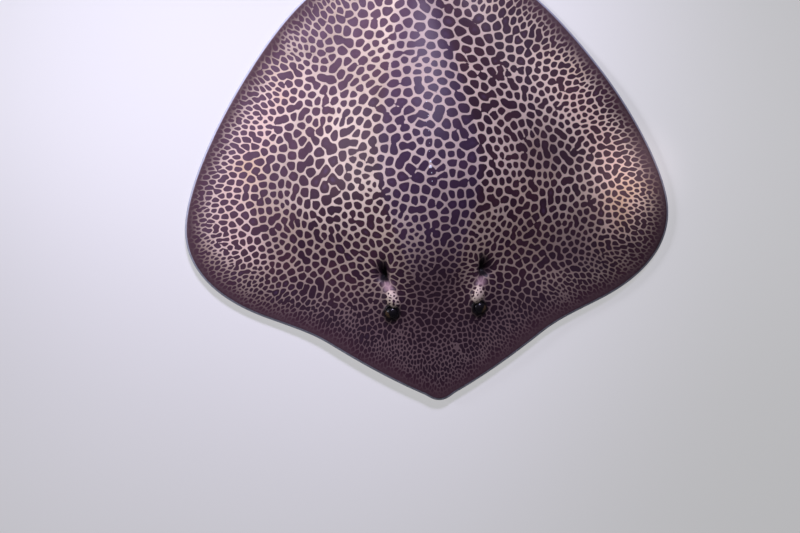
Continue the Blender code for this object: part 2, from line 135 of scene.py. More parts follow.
def inside(points: Array, outline: Array) -> Array:
    """Tell which plan points lie inside a closed outline, by counting crossings to the right."""
    a, b = outline, np.roll(outline, -1, axis=0)
    rise = np.where(b[:, 1] == a[:, 1], 1e-12, b[:, 1] - a[:, 1])
    kept = np.empty(len(points), bool)
    for start in range(0, len(points), CROSSING_ROWS):
        rows = slice(start, start + CROSSING_ROWS)
        x, y = points[rows, 0, None], points[rows, 1, None]
        spans = (a[:, 1] > y) != (b[:, 1] > y)
        hits = spans & (x < a[:, 0] + (y - a[:, 1]) / rise * (b[:, 0] - a[:, 0]))
        kept[rows] = hits.sum(1) % 2 == 1
    return kept


def ring_faces(forms: int, rings: int, around: int) -> list[Array]:
    """Faces of closed forms made of rings, each with one more vertex at either end.

    The vertices go form by form, ring by ring and round each ring, then come the first ends of all
    the forms and then their last ends.

    Args:
        forms: how many forms there are.
        rings: rings in a form.
        around: vertices in a ring.

    Returns:
        The triangles at the ends, and the quads between the rings.
    """
    index = np.arange(forms * rings * around).reshape(forms, rings, around)
    a, b = index[:, :-1], index[:, 1:]
    quads = np.stack([a, b, np.roll(b, -1, 2), np.roll(a, -1, 2)], -1).reshape(-1, 4)
    first, last = index[:, 0], index[:, -1]
    end = index.size + np.arange(forms)[:, None] + 0 * first
    caps = np.concatenate([np.stack([end, first, np.roll(first, -1, 1)], -1).reshape(-1, 3),
                           np.stack([end + forms, np.roll(last, -1, 1), last], -1).reshape(-1, 3)])
    return [caps, quads]


# ---------------------------------------------------------------- the form of the body

@dataclass(frozen=True)
class Oval:
    """An oval place on each side of the head, its front turned towards the midline."""
    side: float
    behind: float
    turn: float

    def offsets(self, side: Array, behind: Array) -> tuple[Array, Array]:
        """Return how far points lie across (outwards) and along (backwards) from its middle."""
        across, along = np.abs(side) - self.side, behind - self.behind
        return (across * math.cos(self.turn) - along * math.sin(self.turn),
                across * math.sin(self.turn) + along * math.cos(self.turn))


@dataclass(frozen=True)
class Disc:
    """Outline and heights of the disc: a broad dome, the body's ridge on it, and the head's relief."""
    origin_behind: float = 0.470
    trunk_end: float = 0.930
    root_half: float = 0.0300
    rim: float = 0.0030
    rim_round: float = 0.0026
    fin_rise: float = 0.052
    fin_reach: float = 0.55
    body_power: float = 2.4
    lift_start: float = 0.50
    wave: float = 0.0028
    waves: Pair = (5.0, 1.3)                  # to a turn in radians, and the shift between sides
    wave_range: Point = (0.15, 2.6, 0.5)      # start and end as angles, and how far they fade
    pelvic_thickness: float = 0.0045
    lobe_step: float = 0.006
    lobe_angle: Pair = (0.30, 0.05)
    lobe_inner: Pair = (0.036, 0.012)
    lobe_overlap: Pair = (0.86, 0.1)
    curves: tuple = (
        ((0.000, 0.000), (0.010, 0.000), (0.018, 0.004), (0.030, 0.0125)),
        ((0.030, 0.0125), (0.090, 0.042), (0.150, 0.079), (0.215, 0.124)),
        ((0.215, 0.124), (0.255, 0.152), (0.290, 0.164), (0.350, 0.190)),
        ((0.350, 0.190), (0.440, 0.230), (0.500, 0.290), (0.500, 0.370)),
        ((0.500, 0.370), (0.500, 0.440), (0.445, 0.560), (0.380, 0.660)),
        ((0.380, 0.660), (0.315, 0.758), (0.225, 0.875), (0.120, 0.902)),
        ((0.120, 0.902), (0.090, 0.910), (0.060, 0.916), (0.034, 0.917)),
    )
    pelvic_curves: tuple = (
        ((0.132, 0.8985), (0.140, 0.925), (0.128, 0.958), (0.098, 0.964)),
        ((0.098, 0.964), (0.072, 0.968), (0.052, 0.952), (0.0335, 0.934)),
    )
    body_rise: Keys = ((0.00, 0.000), (0.06, 0.002), (0.12, 0.008), (0.20, 0.022), (0.30, 0.041),
                       (0.40, 0.051), (0.50, 0.054), (0.60, 0.052), (0.70, 0.047), (0.80, 0.042),
                       (0.90, 0.0415), (0.94, 0.0410))
    body_width: Keys = ((0.00, 0.040), (0.10, 0.070), (0.20, 0.118), (0.30, 0.148), (0.45, 0.165),
                        (0.60, 0.150), (0.70, 0.118), (0.80, 0.075), (0.88, 0.040), (0.94, 0.0290))
    lift: Keys = ((0.0, 0.0), (0.07, 0.0), (0.25, 0.0035), (1.0, 0.0050), (1.7, 0.0075),
                  (2.3, 0.0130), (2.8, 0.0165), (3.1416, 0.0170))
    brow: Oval = Oval(0.0870, 0.2110, math.radians(18))
    brow_half: Pair = (0.0112, 0.0190)
    brow_rise: float = 0.0150
    brow_fall: Pair = (0.9, 1.5)
    eye_radius: float = 0.0142
    eye_out: float = 0.0020
    eye_forward: float = 0.0255
    eye_sink: float = 0.0248
    lid_rise: float = 0.0055
    lid_width: float = 0.0032
    lid_radius: float = 0.0134
    mound_rise: float = 0.0060
    mound_half: Pair = (0.0240, 0.0330)
    mound_forward: float = 0.0140
    mound_power: float = 1.4
    spiracle: Oval = Oval(0.0965, 0.2640, math.radians(5))
    spiracle_inner: float = 0.0050
    spiracle_outer: float = 0.0175
    spiracle_front: float = 0.0135
    spiracle_back: float = 0.0200
    spiracle_depth: float = 0.0230

    def half_outline(self, steps: int = 40) -> Array:
        """Points of the disc's margin on the +X side, from the snout to the root of the tail."""
        return joined_curves(self.curves, steps)

    def polar(self, side: Array, behind: Array) -> tuple[Array, Array]:
        """Angle from straight back, and the share of the way from the origin to the margin."""
        half = self.half_outline()
        run = half[:, 1] - self.origin_behind
        angles, radii = np.arctan2(half[:, 0], run)[::-1], np.hypot(half[:, 0], run)[::-1]
        angle = np.arctan2(np.abs(side), behind - self.origin_behind)
        reach = np.interp(angle, angles, radii)
        return angle, np.hypot(side, behind - self.origin_behind) / reach

    def underside(self, side: Array, behind: Array) -> Array:
        """Height of the underside: flat under the belly, lifted and rippled at the margins."""
        angle, share = self.polar(side, behind)
        (pace, shift), (start, end, fade) = self.waves, self.wave_range
        ripple = self.wave * np.sin(pace * angle + shift * np.sign(side)) * ease((angle - start) / fade)
        lift = np.maximum(keyed(angle, self.lift) + ripple * ease((end - angle) / fade), 0.0)
        return lift * ease((share - self.lift_start) / (1 - self.lift_start))

    def fin_profile(self, share: Array) -> Array:
        """Share of the dome's rise: a bell that is thin and nearly level on the wings, 0 at the margin."""
        last = math.exp(-1 / self.fin_reach ** 2)
        return (np.exp(-(share / self.fin_reach) ** 2) - last) / (1 - last)

    def brow_height(self, side: Array, behind: Array) -> Array:
        """Rise of the brow over each eye."""
        u, v = self.brow.offsets(side, behind)
        reach = (u / self.brow_half[0]) ** 2 + (v / self.brow_half[1]) ** 2
        steep, power = self.brow_fall
        return self.brow_rise * np.exp(-steep * reach ** power)

    def mound_height(self, side: Array, behind: Array) -> Array:
        """Rise of the broad mound that carries the brow and the eyeball before it."""
        u, v = self.brow.offsets(side, behind + self.mound_forward)
        return self.mound_rise * np.exp(-((u / self.mound_half[0]) ** 2
                                          + (v / self.mound_half[1]) ** 2) ** self.mound_power)

    def from_eye(self, side: Array, behind: Array) -> Array:
        """Distance in plan from the middle of the nearer eyeball."""
        return np.hypot(np.abs(side) - self.brow.side - self.eye_out,
                        behind - self.brow.behind + self.eye_forward)

    def lid_height(self, side: Array, behind: Array) -> Array:
        """Rise of the lid, a low ring round each eyeball."""
        out = self.from_eye(side, behind)
        return self.lid_rise * np.exp(-((out - self.lid_radius) / self.lid_width) ** 2)

    def spiracle_pit(self, side: Array, behind: Array) -> Array:
        """Depth of each spiracle: steep on the inner side, sloping on the outer and behind."""
        u, v = self.spiracle.offsets(side, behind)
        across = u / np.where(u > 0, self.spiracle_outer, self.spiracle_inner)
        along = v / np.where(v > 0, self.spiracle_back, self.spiracle_front)
        return self.spiracle_depth * np.exp(-(across ** 2 + along ** 2))

    def topside(self, side: Array, behind: Array) -> Array:
        """Height of the back: dome, ridge, pelvic lobes, brows, lids and spiracles over the belly."""
        angle, share = self.polar(side, behind)
        dome = self.fin_rise * self.fin_profile(np.minimum(share, 1.0))
        ridge = np.exp(-(np.abs(side) / keyed(behind, self.body_width)) ** self.body_power)
        body = keyed(behind, self.body_rise) * ridge
        past = ease((share - 1.0) / self.lobe_step)
        over_lobe = (self.pelvic_thickness * ease((self.lobe_angle[0] - angle) / self.lobe_angle[1])
                     * ease((np.abs(side) - self.lobe_inner[0]) / self.lobe_inner[1])
                     * ease((share - self.lobe_overlap[0]) / self.lobe_overlap[1]) * (1 - past))
        lobe = (self.pelvic_thickness - self.rim) * past
        raised = np.maximum(self.brow_height(side, behind), self.lid_height(side, behind))
        raised = raised + self.mound_height(side, behind)
        return (self.underside(side, behind) + self.rim + dome + body + over_lobe + lobe + raised
                - self.spiracle_pit(side, behind))

    def eye_middle(self, sign: int) -> Array:
        """Middle of an eyeball, as side, behind and height; sign is +1 on the animal's left."""
        top = float(self.topside(np.array([self.brow.side]), np.array([self.brow.behind]))[0])
        return np.array([sign * (self.brow.side + self.eye_out), self.brow.behind - self.eye_forward,
                         top - self.eye_sink])


@dataclass(frozen=True)
class Tail:
    """The whip tail: sections carried along a gentle S on the ground."""
    length: float = 2.05
    swing: float = 0.52
    wave: float = 1.95
    swing_in: float = 0.35        # along the tail, over which the S begins
    line_points: int = 821
    blend: float = 0.09
    flat: float = 0.55
    widest: float = 0.40          # of the height, where a section is widest
    crown_power: float = 0.45
    ring_step: float = 0.0022
    ring_growth: Point = (0.0085, 0.10, 0.45)  # added to the step, from here, over this length
    end_clear: Pair = (0.006, 0.001)
    half: Keys = ((0.00, 0.0300), (0.06, 0.0235), (0.14, 0.0172), (0.26, 0.0128), (0.40, 0.0098),
                  (0.70, 0.0070), (1.20, 0.0047), (1.70, 0.0030), (2.05, 0.0016))
    high: Keys = ((0.00, 0.0450), (0.06, 0.0385), (0.14, 0.0300), (0.26, 0.0225), (0.40, 0.0170),
                  (0.70, 0.0118), (1.20, 0.0080), (1.70, 0.0052), (2.05, 0.0030))

    def line(self, at: Array | float) -> tuple[Array, Array, Array]:
        """Return side, distance from the root and heading of the middle line at places along it."""
        along = np.linspace(0, self.length, self.line_points)
        heading = self.swing * np.sin(2 * math.pi * along / self.wave) * ease(along / self.swing_in)
        step = along[1] - along[0]
        side = np.concatenate([[0], np.cumsum(np.sin(heading[:-1]) * step)])
        back = np.concatenate([[0], np.cumsum(np.cos(heading[:-1]) * step)])
        return tuple(np.interp(at, along, row) for row in (side, back, heading))


# ---------------------------------------------------------------- the netted markings

@dataclass(frozen=True)
class Netting:
    """Dark cells parted by thin pale walls, grown over the plan of the back and the tail's root.

    Cells start scattered at a density that follows the body, then each moves to the middle of its
    ground a few times. Some neighbours merge, which leaves dumbbells and hooks. The cells are then
    shared out among a few kinds so that no two neighbours are of one kind. The squared distance to
    the nearest cell of a kind changes evenly across a wall, so a vertex can carry it, and the
    material finds the walls, sharp, where the two nearest kinds are equally far.
    """
    seed: int = 5
    rounds: int = 7
    merged: float = 0.060
    middle: Keys = ((0.00, 0.0118), (0.10, 0.0124), (0.17, 0.0122), (0.22, 0.0120), (0.28, 0.0135),
                    (0.34, 0.0168), (0.42, 0.0198), (0.55, 0.0214), (0.70, 0.0228), (0.85, 0.0238),
                    (0.95, 0.0212), (1.25, 0.0120))
    flank: Keys = ((0.00, 0.0118), (0.10, 0.0130), (0.20, 0.0151), (0.30, 0.0172), (0.42, 0.0190),
                   (0.60, 0.0203), (0.80, 0.0214), (0.95, 0.0188), (1.25, 0.0120))
    shrink: Keys = ((0.00, 1.0), (0.60, 1.0), (0.72, 0.95), (0.85, 0.78), (0.93, 0.66), (1.00, 0.60))
    finest: float = 0.0088
    flank_from: Pair = (0.06, 0.14)           # off the midline, and over which it takes over
    brow_share: float = 0.55
    brow_reach: float = 1.3
    rim_stretch: Point = (0.50, 0.70, 0.22)   # along the margin: strength, share it starts at, fade
    inner_stretch: tuple = (0.22, 0.2, 0.72, 0.2)  # outwards: strength, start, end and fade
    disc_fade: float = 0.05
    pit_stretch: Pair = (0.75, 0.034)         # towards a spiracle: strength and reach
    packing: float = 0.866                    # area of a cell over its spacing squared
    jitter: float = 0.0008

    def spacing(self, disc: Disc, places: Array) -> Array:
        """Distance between neighbouring cells at plan places."""
        side, behind = places.T
        _, share = disc.polar(side, np.minimum(behind, disc.trunk_end))
        apart = ease((np.abs(side) - self.flank_from[0]) / self.flank_from[1])
        wide = keyed(behind, self.middle) * (1 - apart) + keyed(behind, self.flank) * apart
        shrink = np.where(behind > disc.trunk_end, 1.0, keyed(share, self.shrink))
        wide = np.maximum(wide * shrink, self.finest)
        brow = disc.brow_height(side, behind) / disc.brow_rise
        return wide * (1 - (1 - self.brow_share) * ease(brow * self.brow_reach))

    def metric(self, disc: Disc, places: Array) -> tuple[Array, Array, Array]:
        """Measure of distance at places, as the three terms of a symmetric 2 by 2 matrix.

        The logarithm of the matrix is -2 log(spacing) on its diagonal plus, for each stretch, the
        logarithm of the stretch times a turn by twice its direction.
        """
        side, behind = places.T
        run = behind - disc.origin_behind
        _, share = disc.polar(side, np.minimum(behind, disc.trunk_end))
        outward = np.arctan2(run, side)
        (rim, rim_start, rim_fade), (inner, start, end, fade) = self.rim_stretch, self.inner_stretch
        stretch = (rim * ease((share - rim_start) / rim_fade)
                   - inner * ease((share - start) / fade) * ease((end - share) / fade))
        on_disc = ease((disc.trunk_end - behind) / self.disc_fade)
        turn_x, turn_y = (stretch * on_disc * f(2 * outward) for f in (np.cos, np.sin))
        u, v = np.abs(side) - disc.spiracle.side, behind - disc.spiracle.behind
        near = self.pit_stretch[0] * np.exp(-(u * u + v * v) / self.pit_stretch[1] ** 2)
        to_pit = np.arctan2(v, u * np.sign(side))
        turn_x, turn_y = turn_x + near * np.cos(2 * to_pit), turn_y + near * np.sin(2 * to_pit)
        size = np.maximum(np.hypot(turn_x, turn_y), 1e-9)
        scale = 1 / self.spacing(disc, places) ** 2
        level, tilt = scale * np.cosh(size), -scale * np.sinh(size) / size
        return level + tilt * turn_x, tilt * turn_y, level - tilt * turn_x

    @staticmethod
    def measure(seeds: Array, metric: tuple, places: Array) -> Array:
        """Squared distance from every place to every seed, by the seed's own metric."""
        a, b, c = metric
        sx, sy = seeds.T
        terms = np.stack([a, 2 * b, c, -2 * (a * sx + b * sy), -2 * (b * sx + c * sy),
                          a * sx * sx + 2 * b * sx * sy + c * sy * sy]).astype(np.float32)
        x, y = places.T
        return np.stack([x * x, x * y, y * y, x, y, np.ones_like(x)], 1).astype(np.float32) @ terms

    def grow(self, disc: Disc, ground: Array, share_of_ground: float) -> "Cells":
        """Scatter and relax the cells over sample places of the ground, then merge some.

        Args:
            disc: the form that the markings follow.
            ground: plan places spread evenly over the whole ground.
            share_of_ground: the area that each of them stands for.

        Returns:
            The cells.
        """
        rng = np.random.default_rng(self.seed)
        wide = self.spacing(disc, ground)
        want = 1 / (self.packing * wide ** 2)
        count = int(round(np.sum(want) * share_of_ground))
        seeds = ground[rng.choice(len(ground), count, replace=False, p=want / want.sum())]
        seeds = seeds + rng.normal(0, self.jitter, seeds.shape)
        weight = want ** 2
        for _ in range(self.rounds):
            nearest, _ = self.nearest_two(disc, seeds, ground)
            total = np.bincount(nearest, weight, count)
            middles = np.stack([np.bincount(nearest, weight * ground[:, k], count) for k in (0, 1)], 1)
            held = total > 0
            seeds[held] = middles[held] / total[held, None]
        nearest, second = self.nearest_two(disc, seeds, ground)
        pairs = np.unique(np.sort(np.stack([nearest, second], 1), axis=1), axis=0)
        group, single = np.arange(count), np.ones(count, bool)
        for i, j in rng.permutation(pairs):
            if single[i] and single[j] and rng.random() < self.merged:
                group[j], single[i], single[j] = group[i], False, False
        kind = self.kinds(group, pairs)
        order = np.argsort(kind, kind="stable")
        metric = tuple(term[order] for term in self.metric(disc, seeds))
        return Cells(seeds[order], metric, kind[order], rng.random(count)[group[order]])

    @staticmethod
    def kinds(group: Array, pairs: Array) -> Array:
        """Give each cell a kind, the same within a group and unlike its neighbours' where it can be.

        Args:
            group: the group of every cell.
            pairs: rows of two neighbouring cells.

        Returns:
            The kind of every cell.
        """
        beside = {int(g): set() for g in np.unique(group)}
        for i, j in group[pairs]:
            if i != j:
                beside[int(i)].add(int(j))
                beside[int(j)].add(int(i))
        given: dict[int, int] = {}
        used = np.zeros(KINDS)
        for g in sorted(beside, key=lambda g: -len(beside[g])):
            taken = np.array([sum(given.get(n) == k for n in beside[g]) for k in range(KINDS)])
            given[g] = int(np.argmin(taken + used / (used.sum() + 1)))
            used[given[g]] += 1
        return np.array([given[int(g)] for g in group])

    def nearest_two(self, disc: Disc, seeds: Array, places: Array) -> tuple[Array, Array]:
        """Return the nearest and second nearest seed of every place."""
        metric = self.metric(disc, seeds)
        first, second = np.empty((2, len(places)), int)
        for start in range(0, len(places), SEED_ROWS):
            rows = slice(start, start + SEED_ROWS)
            far = self.measure(seeds, metric, places[rows])
            first[rows] = best = far.argmin(1)
            far[np.arange(len(far)), best] = np.inf
            second[rows] = far.argmin(1)
        return first, second


@dataclass(frozen=True)
class Cells:
    """Grown cells in the order of their kinds: their middles, measures, kinds and a tone for each."""
    seeds: Array
    metric: tuple
    kind: Array
    tones: Array

    def read(self, places: Array) -> dict[str, Array]:
        """Read the markings at plan places.

        Returns:
            The squared distance to the nearest cell of each kind, in cell spacings, as near_0 and
            so on, and the tone of the cell there.
        """
        starts = np.searchsorted(self.kind, np.arange(KINDS))
        near, tone = np.empty((len(places), KINDS)), np.empty(len(places))
        for start in range(0, len(places), READ_ROWS):
            rows = slice(start, start + READ_ROWS)
            far = Netting.measure(self.seeds, self.metric, places[rows])
            near[rows] = np.minimum.reduceat(far, starts, axis=1)
            tone[rows] = self.tones[far.argmin(1)]
        return {"tone": tone} | {f"near_{k}": np.maximum(near[:, k], 0) for k in range(KINDS)}


# ---------------------------------------------------------------- the underside

@dataclass(frozen=True)
class Relief:
    """Small forms of the underside, all sunk into it: mouth, nostrils, gills, vent and folds.

    A zone is the reach round a feature within which the mesh is fine.
    """
    mouth: Pair = (0.182, 0.043)
    mouth_arch: Pair = (0.0050, 0.002)
    mouth_zone: Point = (0.066, 0.166, 0.034)
    bowl: float = 0.0032
    bowl_half: Pair = (0.062, 0.030)
    bowl_forward: float = 0.010
    lips: float = 0.0038
    lips_reach: Pair = (1.05, 0.008)
    nostril: Pair = (0.046, 0.152)
    nostril_depth: float = 0.0040
    nostril_half: Pair = (0.0075, 0.0036)
    nostril_slant: float = 0.45
    curtain: Pair = (0.174, 0.040)
    curtain_depth: float = 0.0016
    curtain_fringe: Pair = (0.0015, 260)      # depth of its scallops, and their pace
    curtain_fade: float = 0.006
    gill: Pair = (0.104, 0.288)
    gill_step: Pair = (-0.0065, 0.0330)
    gill_half: float = 0.0105
    gill_count: int = 5
    gill_depth: float = 0.0032
    gill_zone: float = 0.0145
    vent: Pair = (0.866, 0.014)
    vent_depth: float = 0.0030
    vent_half: float = 0.0020
    vent_fade: float = 0.006
    vent_zone: Pair = (0.016, 0.024)
    hollow_depth: float = 0.0018
    hollow_half: Pair = (0.013, 0.021)
    fold: tuple = ((0.052, 0.862), (0.095, 0.884), (0.134, 0.902))
    fold_depth: float = 0.0019
    fold_width: float = 0.0022
    fold_zone: float = 0.0060
    slit: float = 0.0013

    def line(self, side: Array, behind: Array, points: tuple, wide: float) -> Array:
        """1 along a line of plan points on each side, fading over a width."""
        apart = gap_to(np.stack([np.abs(side), behind], 1), np.array(points))
        return np.exp(-(apart / wide) ** 2)

    def mouth_line(self, side: Array) -> Array:
        """Distance behind the snout of the gap between the lips."""
        arch, shift = self.mouth_arch
        return self.mouth[0] - arch * np.cos(side / self.mouth[1] * math.pi) + shift

    def gills(self) -> list[tuple]:
        """The two ends and the bent middle of every gill slit of a side."""
        found = []
        for i in range(self.gill_count):
            x = self.gill[0] + self.gill_step[0] * i * (0.6 + 0.35 * i)
            y, half = self.gill[1] + self.gill_step[1] * i, self.gill_half * (1 - 0.08 * i)
            found.append(((x - half, y + 0.0030), (x, y), (x + half, y + 0.0035)))
        return found

    def recess(self, side: Array, behind: Array) -> Array:
        """How far the underside is sunk at plan places."""
        (at, half), wide, out = self.mouth, self.bowl_half, np.abs(side)
        bowl = self.bowl * np.exp(-((side / wide[0]) ** 2
                                    + ((behind - at + self.bowl_forward) / wide[1]) ** 2) ** 1.5)
        open_to = ease((half * self.lips_reach[0] - out) / self.lips_reach[1])
        lips = self.lips * np.exp(-((behind - self.mouth_line(side)) / (self.slit * 1.4)) ** 2) * open_to
        u, v = out - self.nostril[0], behind - self.nostril[1]
        nostril = self.nostril_depth * np.exp(-((u / self.nostril_half[0]) ** 2 + (
            (v + self.nostril_slant * u) / self.nostril_half[1]) ** 2))
        scallop, pace = self.curtain_fringe
        curtain = self.curtain_depth * np.exp(
            -((behind - self.curtain[0] - scallop * np.cos(side * pace)) / self.slit) ** 2) * ease(
            (self.curtain[1] - out) / self.curtain_fade)
        ends = (self.nostril, (self.curtain[1], self.curtain[0]))
        edge = self.curtain_depth * self.line(side, behind, ends, self.slit * 1.2)
        gills = sum(self.gill_depth * self.line(side, behind, points, self.slit * 1.1)
                    for points in self.gills())
        vent = self.vent_depth * np.exp(-(side / self.vent_half) ** 2) * ease(
            (self.vent[1] - np.abs(behind - self.vent[0])) / self.vent_fade)
        hollow = self.hollow_depth * np.exp(-((side / self.hollow_half[0]) ** 2
                                              + ((behind - self.vent[0]) / self.hollow_half[1]) ** 2))
        fold = self.fold_depth * self.line(side, behind, self.fold, self.fold_width)
        return np.maximum.reduce([bowl + lips + curtain + edge, nostril + bowl, gills, vent + hollow, fold])

    def fine(self, side: Array, behind: Array) -> Array:
        """1 near the features, where the mesh has to be fine, 0 away from them."""
        out, (reach, middle, along) = np.abs(side), self.mouth_zone
        mouth = (out < reach) & (np.abs(behind - middle) < along)
        rows = np.array([points[1] for points in self.gills()])
        places = np.stack([out, behind], 1)
        gills = gap_to(places, rows) < self.gill_zone
        vent = (out < self.vent_zone[0]) & (np.abs(behind - self.vent[0]) < self.vent_zone[1])
        fold = gap_to(places, np.array(self.fold)) < self.fold_zone
        return (mouth | gills | vent | fold).astype(float)


# ---------------------------------------------------------------- the skin

@dataclass
class Marks:
    """Values carried by the vertices of the skin, by name; what isn't given is 0."""
    count: int
    values: dict[str, Array] = field(default_factory=dict)

    def add(self, rows: slice | Array, **given: Array | float) -> None:
        """Set some values over a run of vertices."""
        for name, value in given.items():
            self.values.setdefault(name, np.zeros(self.count, np.float32))[rows] = value

    def put_on(self, mesh: bpy.types.Mesh) -> None:
        """Write every value as a point attribute."""
        for name, value in self.values.items():
            mesh.attributes.new(name, "FLOAT", "POINT").data.foreach_set("value", value)


def new_mesh(name: str, points: Array, faces: list[Array], finish: bpy.types.Material) -> bpy.types.Object:
    """Make a smooth mesh object that rides on the body.

    Args:
        name: name of the piece.
        points: vertices in metres.
        faces: arrays of triangles or quads, one array to each size.
        finish: its material.

    Returns:
        The object.
    """
    mesh = bpy.data.meshes.new(name)
    sizes = np.concatenate([np.full(len(rows), rows.shape[1]) for rows in faces])
    loops = np.concatenate([rows.ravel() for rows in faces]).astype(np.int32)
    mesh.vertices.add(len(points))
    mesh.vertices.foreach_set("co", np.asarray(points, np.float32).ravel())
    mesh.loops.add(len(loops))
    mesh.loops.foreach_set("vertex_index", loops)
    mesh.polygons.add(len(sizes))
    mesh.polygons.foreach_set("loop_start", np.concatenate([[0], np.cumsum(sizes)[:-1]]))
    mesh.update(calc_edges=True)
    mesh.validate()
    mesh.shade_smooth()
    mesh.materials.append(finish)
    piece = bpy.data.objects.new(name, mesh)
    bpy.context.scene.collection.objects.link(piece)
    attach(piece, ROOT_BODY)
    LOG.info("%s: %d vertices, %d triangles", name, len(points), int((sizes - 2).sum()))
    return piece


@dataclass
class Skin:
    """One closed skin over the disc, the pelvic lobes and the tail."""
    disc: Disc
    tail: Tail
    netting: Netting
    relief: Relief
    margin_step: float = 0.0032
    insets: tuple = (0.0006, 0.0016, 0.0032)
    cut_points: int = 31
    low_shares: tuple = (0.97, 0.88, 0.75, 0.58, 0.20, -0.20, -0.58, -0.75, -0.88, -0.97)
    finest: float = 0.00120
    growth: float = 1.30
    fit: float = 4.0
    band_half: Keys = ((0.20, 0.030), (0.32, 0.075), (0.46, 0.110), (0.62, 0.090), (0.80, 0.055),
                       (0.93, 0.040))
    band_fade: float = 0.018
    band_from: Pair = (0.20, 0.05)
    net_to: float = 0.30
    edge_far: float = 0.08
    # recess depth at which the painted shade in the underside's recesses is full
    painted_hole_shade_depth: float = 0.006
    snout_fade: Pair = (0.30, 0.15)
    head_fade: Pair = (0.38, 0.15)
    head_half: float = 0.066
    fair_rear: Pair = (0.25, 0.26)
    fair_inner: Pair = (0.15, 0.10)
    fair_front: Pair = (0.42, 0.20)
    fair_base: float = 0.20
    wing_share: Pair = (0.81, 0.085)
    wing_from: Pair = (0.25, 0.10)
    wing_to: Pair = (0.74, 0.14)
    # painted glare on the cells over the rear of the right half: its most, where it starts and over what it
    # grows
    painted_glare_most: float = 0.9
    painted_glare_from: Pair = (0.61, 0.42)
    flank_at: Pair = (0.0950, 0.2370)
    flank_half: Pair = (0.0100, 0.0105)
    # reach and fade of the painted shade round each eyeball
    painted_eye_shade_reach: Pair = (0.0210, 0.007)
    ground_step: float = 0.0034
    # soft spots of painted shade on the +X side: side, distance behind, two reaches and strength
    painted_shade_spots: tuple = ((0.315, 0.285, 0.130, 0.065, 0.75), (0.245, 0.495, 0.060, 0.050, 0.50))
    # soft spots on the net's lines, two of painted light and one of painted shade: side, distance behind,
    # two reaches and strength
    painted_light_and_shade_spots: tuple = ((-0.200, 0.390, 0.160, 0.060, 0.30), (0.120, 0.500, 0.050, 0.060, 0.32),
                     (-0.070, 0.660, 0.130, 0.100, -0.30))

    def margin(self) -> Array:
        """Plan points of the whole margin, from the +X corner of the tail's root round the snout."""
        half = self.disc.half_outline(60)
        lobe = joined_curves(self.disc.pelvic_curves, 30)
        kept = half[(half[:, 1] < lobe[0, 1]) | (half[:, 0] > lobe[0, 0] + 0.002)]
        corner = np.array([[self.disc.root_half, self.disc.trunk_end]])
        line = evenly(np.concatenate([kept, lobe, corner])[::-1], self.margin_step)
        return np.concatenate([line, line[-2::-1] * (-1, 1)])

    def inset_rows(self, margin: Array, by: tuple) -> Array:
        """Rows of points just inside the margin."""
        heading = np.gradient(margin, axis=0)
        inward = np.stack([-heading[:, 1], heading[:, 0]], 1)
        inward /= np.linalg.norm(inward, axis=1)[:, None]
        rows = np.concatenate([margin[1:-1] + inward[1:-1] * deep for deep in by])
        deep = np.repeat(by, len(margin) - 2)
        kept = (gap_to(rows, margin) > 0.93 * deep) & inside(rows, margin)
        return rows[kept]

    def lattice(self, margin: Array, wanted: Callable, clear: float) -> Array:
        """Staggered points inside the margin whose spacing follows a wanted spacing.

        Args:
            margin: the closed outline.
            wanted: gives the spacing wanted at plan places.
            clear: how far from the margin they keep.

        Returns:
            The points.
        """
        low, high = margin.min(0), margin.max(0)
        found, level = [], 0
        while True:
            step = self.finest * self.growth ** level
            xs = np.arange(low[0] + step / 3, high[0], step)
            ys = np.arange(low[1] + step / 3, high[1], step * math.sqrt(0.75))
            x, y = np.meshgrid(xs, ys)
            x = x + (np.arange(len(ys)) % 2)[:, None] * step / 2
            places = np.stack([x.ravel(), y.ravel()], 1)
            near = np.log(wanted(places) / self.finest) / math.log(self.growth)
            places = places[(np.round(near) == level) | ((near < 0) & (level == 0))]
            if step > 0.05:
                break
            if len(places):
                places = places[inside(places, margin)]
                edge = gap_to(places, margin)
                along_cut = (self.disc.trunk_end - places[:, 1] < step * 0.45) & (
                    np.abs(places[:, 0]) < self.disc.root_half + 0.002)
                found.append(places[(edge > clear + step * 0.30) & ~along_cut])
            level += 1
        return np.concatenate(found)

    def joined(self, points: Array, loop: int) -> Array:
        """Triangles over plan points whose first ones, loop of them, go round the outline."""
        edges = [(i, (i + 1) % loop) for i in range(loop)]
        _, _, faces, source, _, _ = delaunay_2d_cdt(
            [Vector(p) for p in points.tolist()], edges, [], 1, 1e-7, True)
        back = np.array([ids[0] if ids else -1 for ids in source])
        faces = back[np.array(faces)]
        faces = faces[(faces >= 0).all(1)]
        risky = (faces < loop).all(1)
        middles = points[faces[risky]].mean(1)
        kept = np.ones(len(faces), bool)
        kept[np.flatnonzero(risky)] = inside(middles, points[:loop])
        faces = faces[kept]
        a, b, c = (points[faces[:, k]] for k in range(3))
        turn = (b[:, 0] - a[:, 0]) * (c[:, 1] - a[:, 1]) - (b[:, 1] - a[:, 1]) * (c[:, 0] - a[:, 0])
        faces[turn < 0] = faces[turn < 0][:, ::-1]
        return faces[np.abs(turn) > 1e-13]

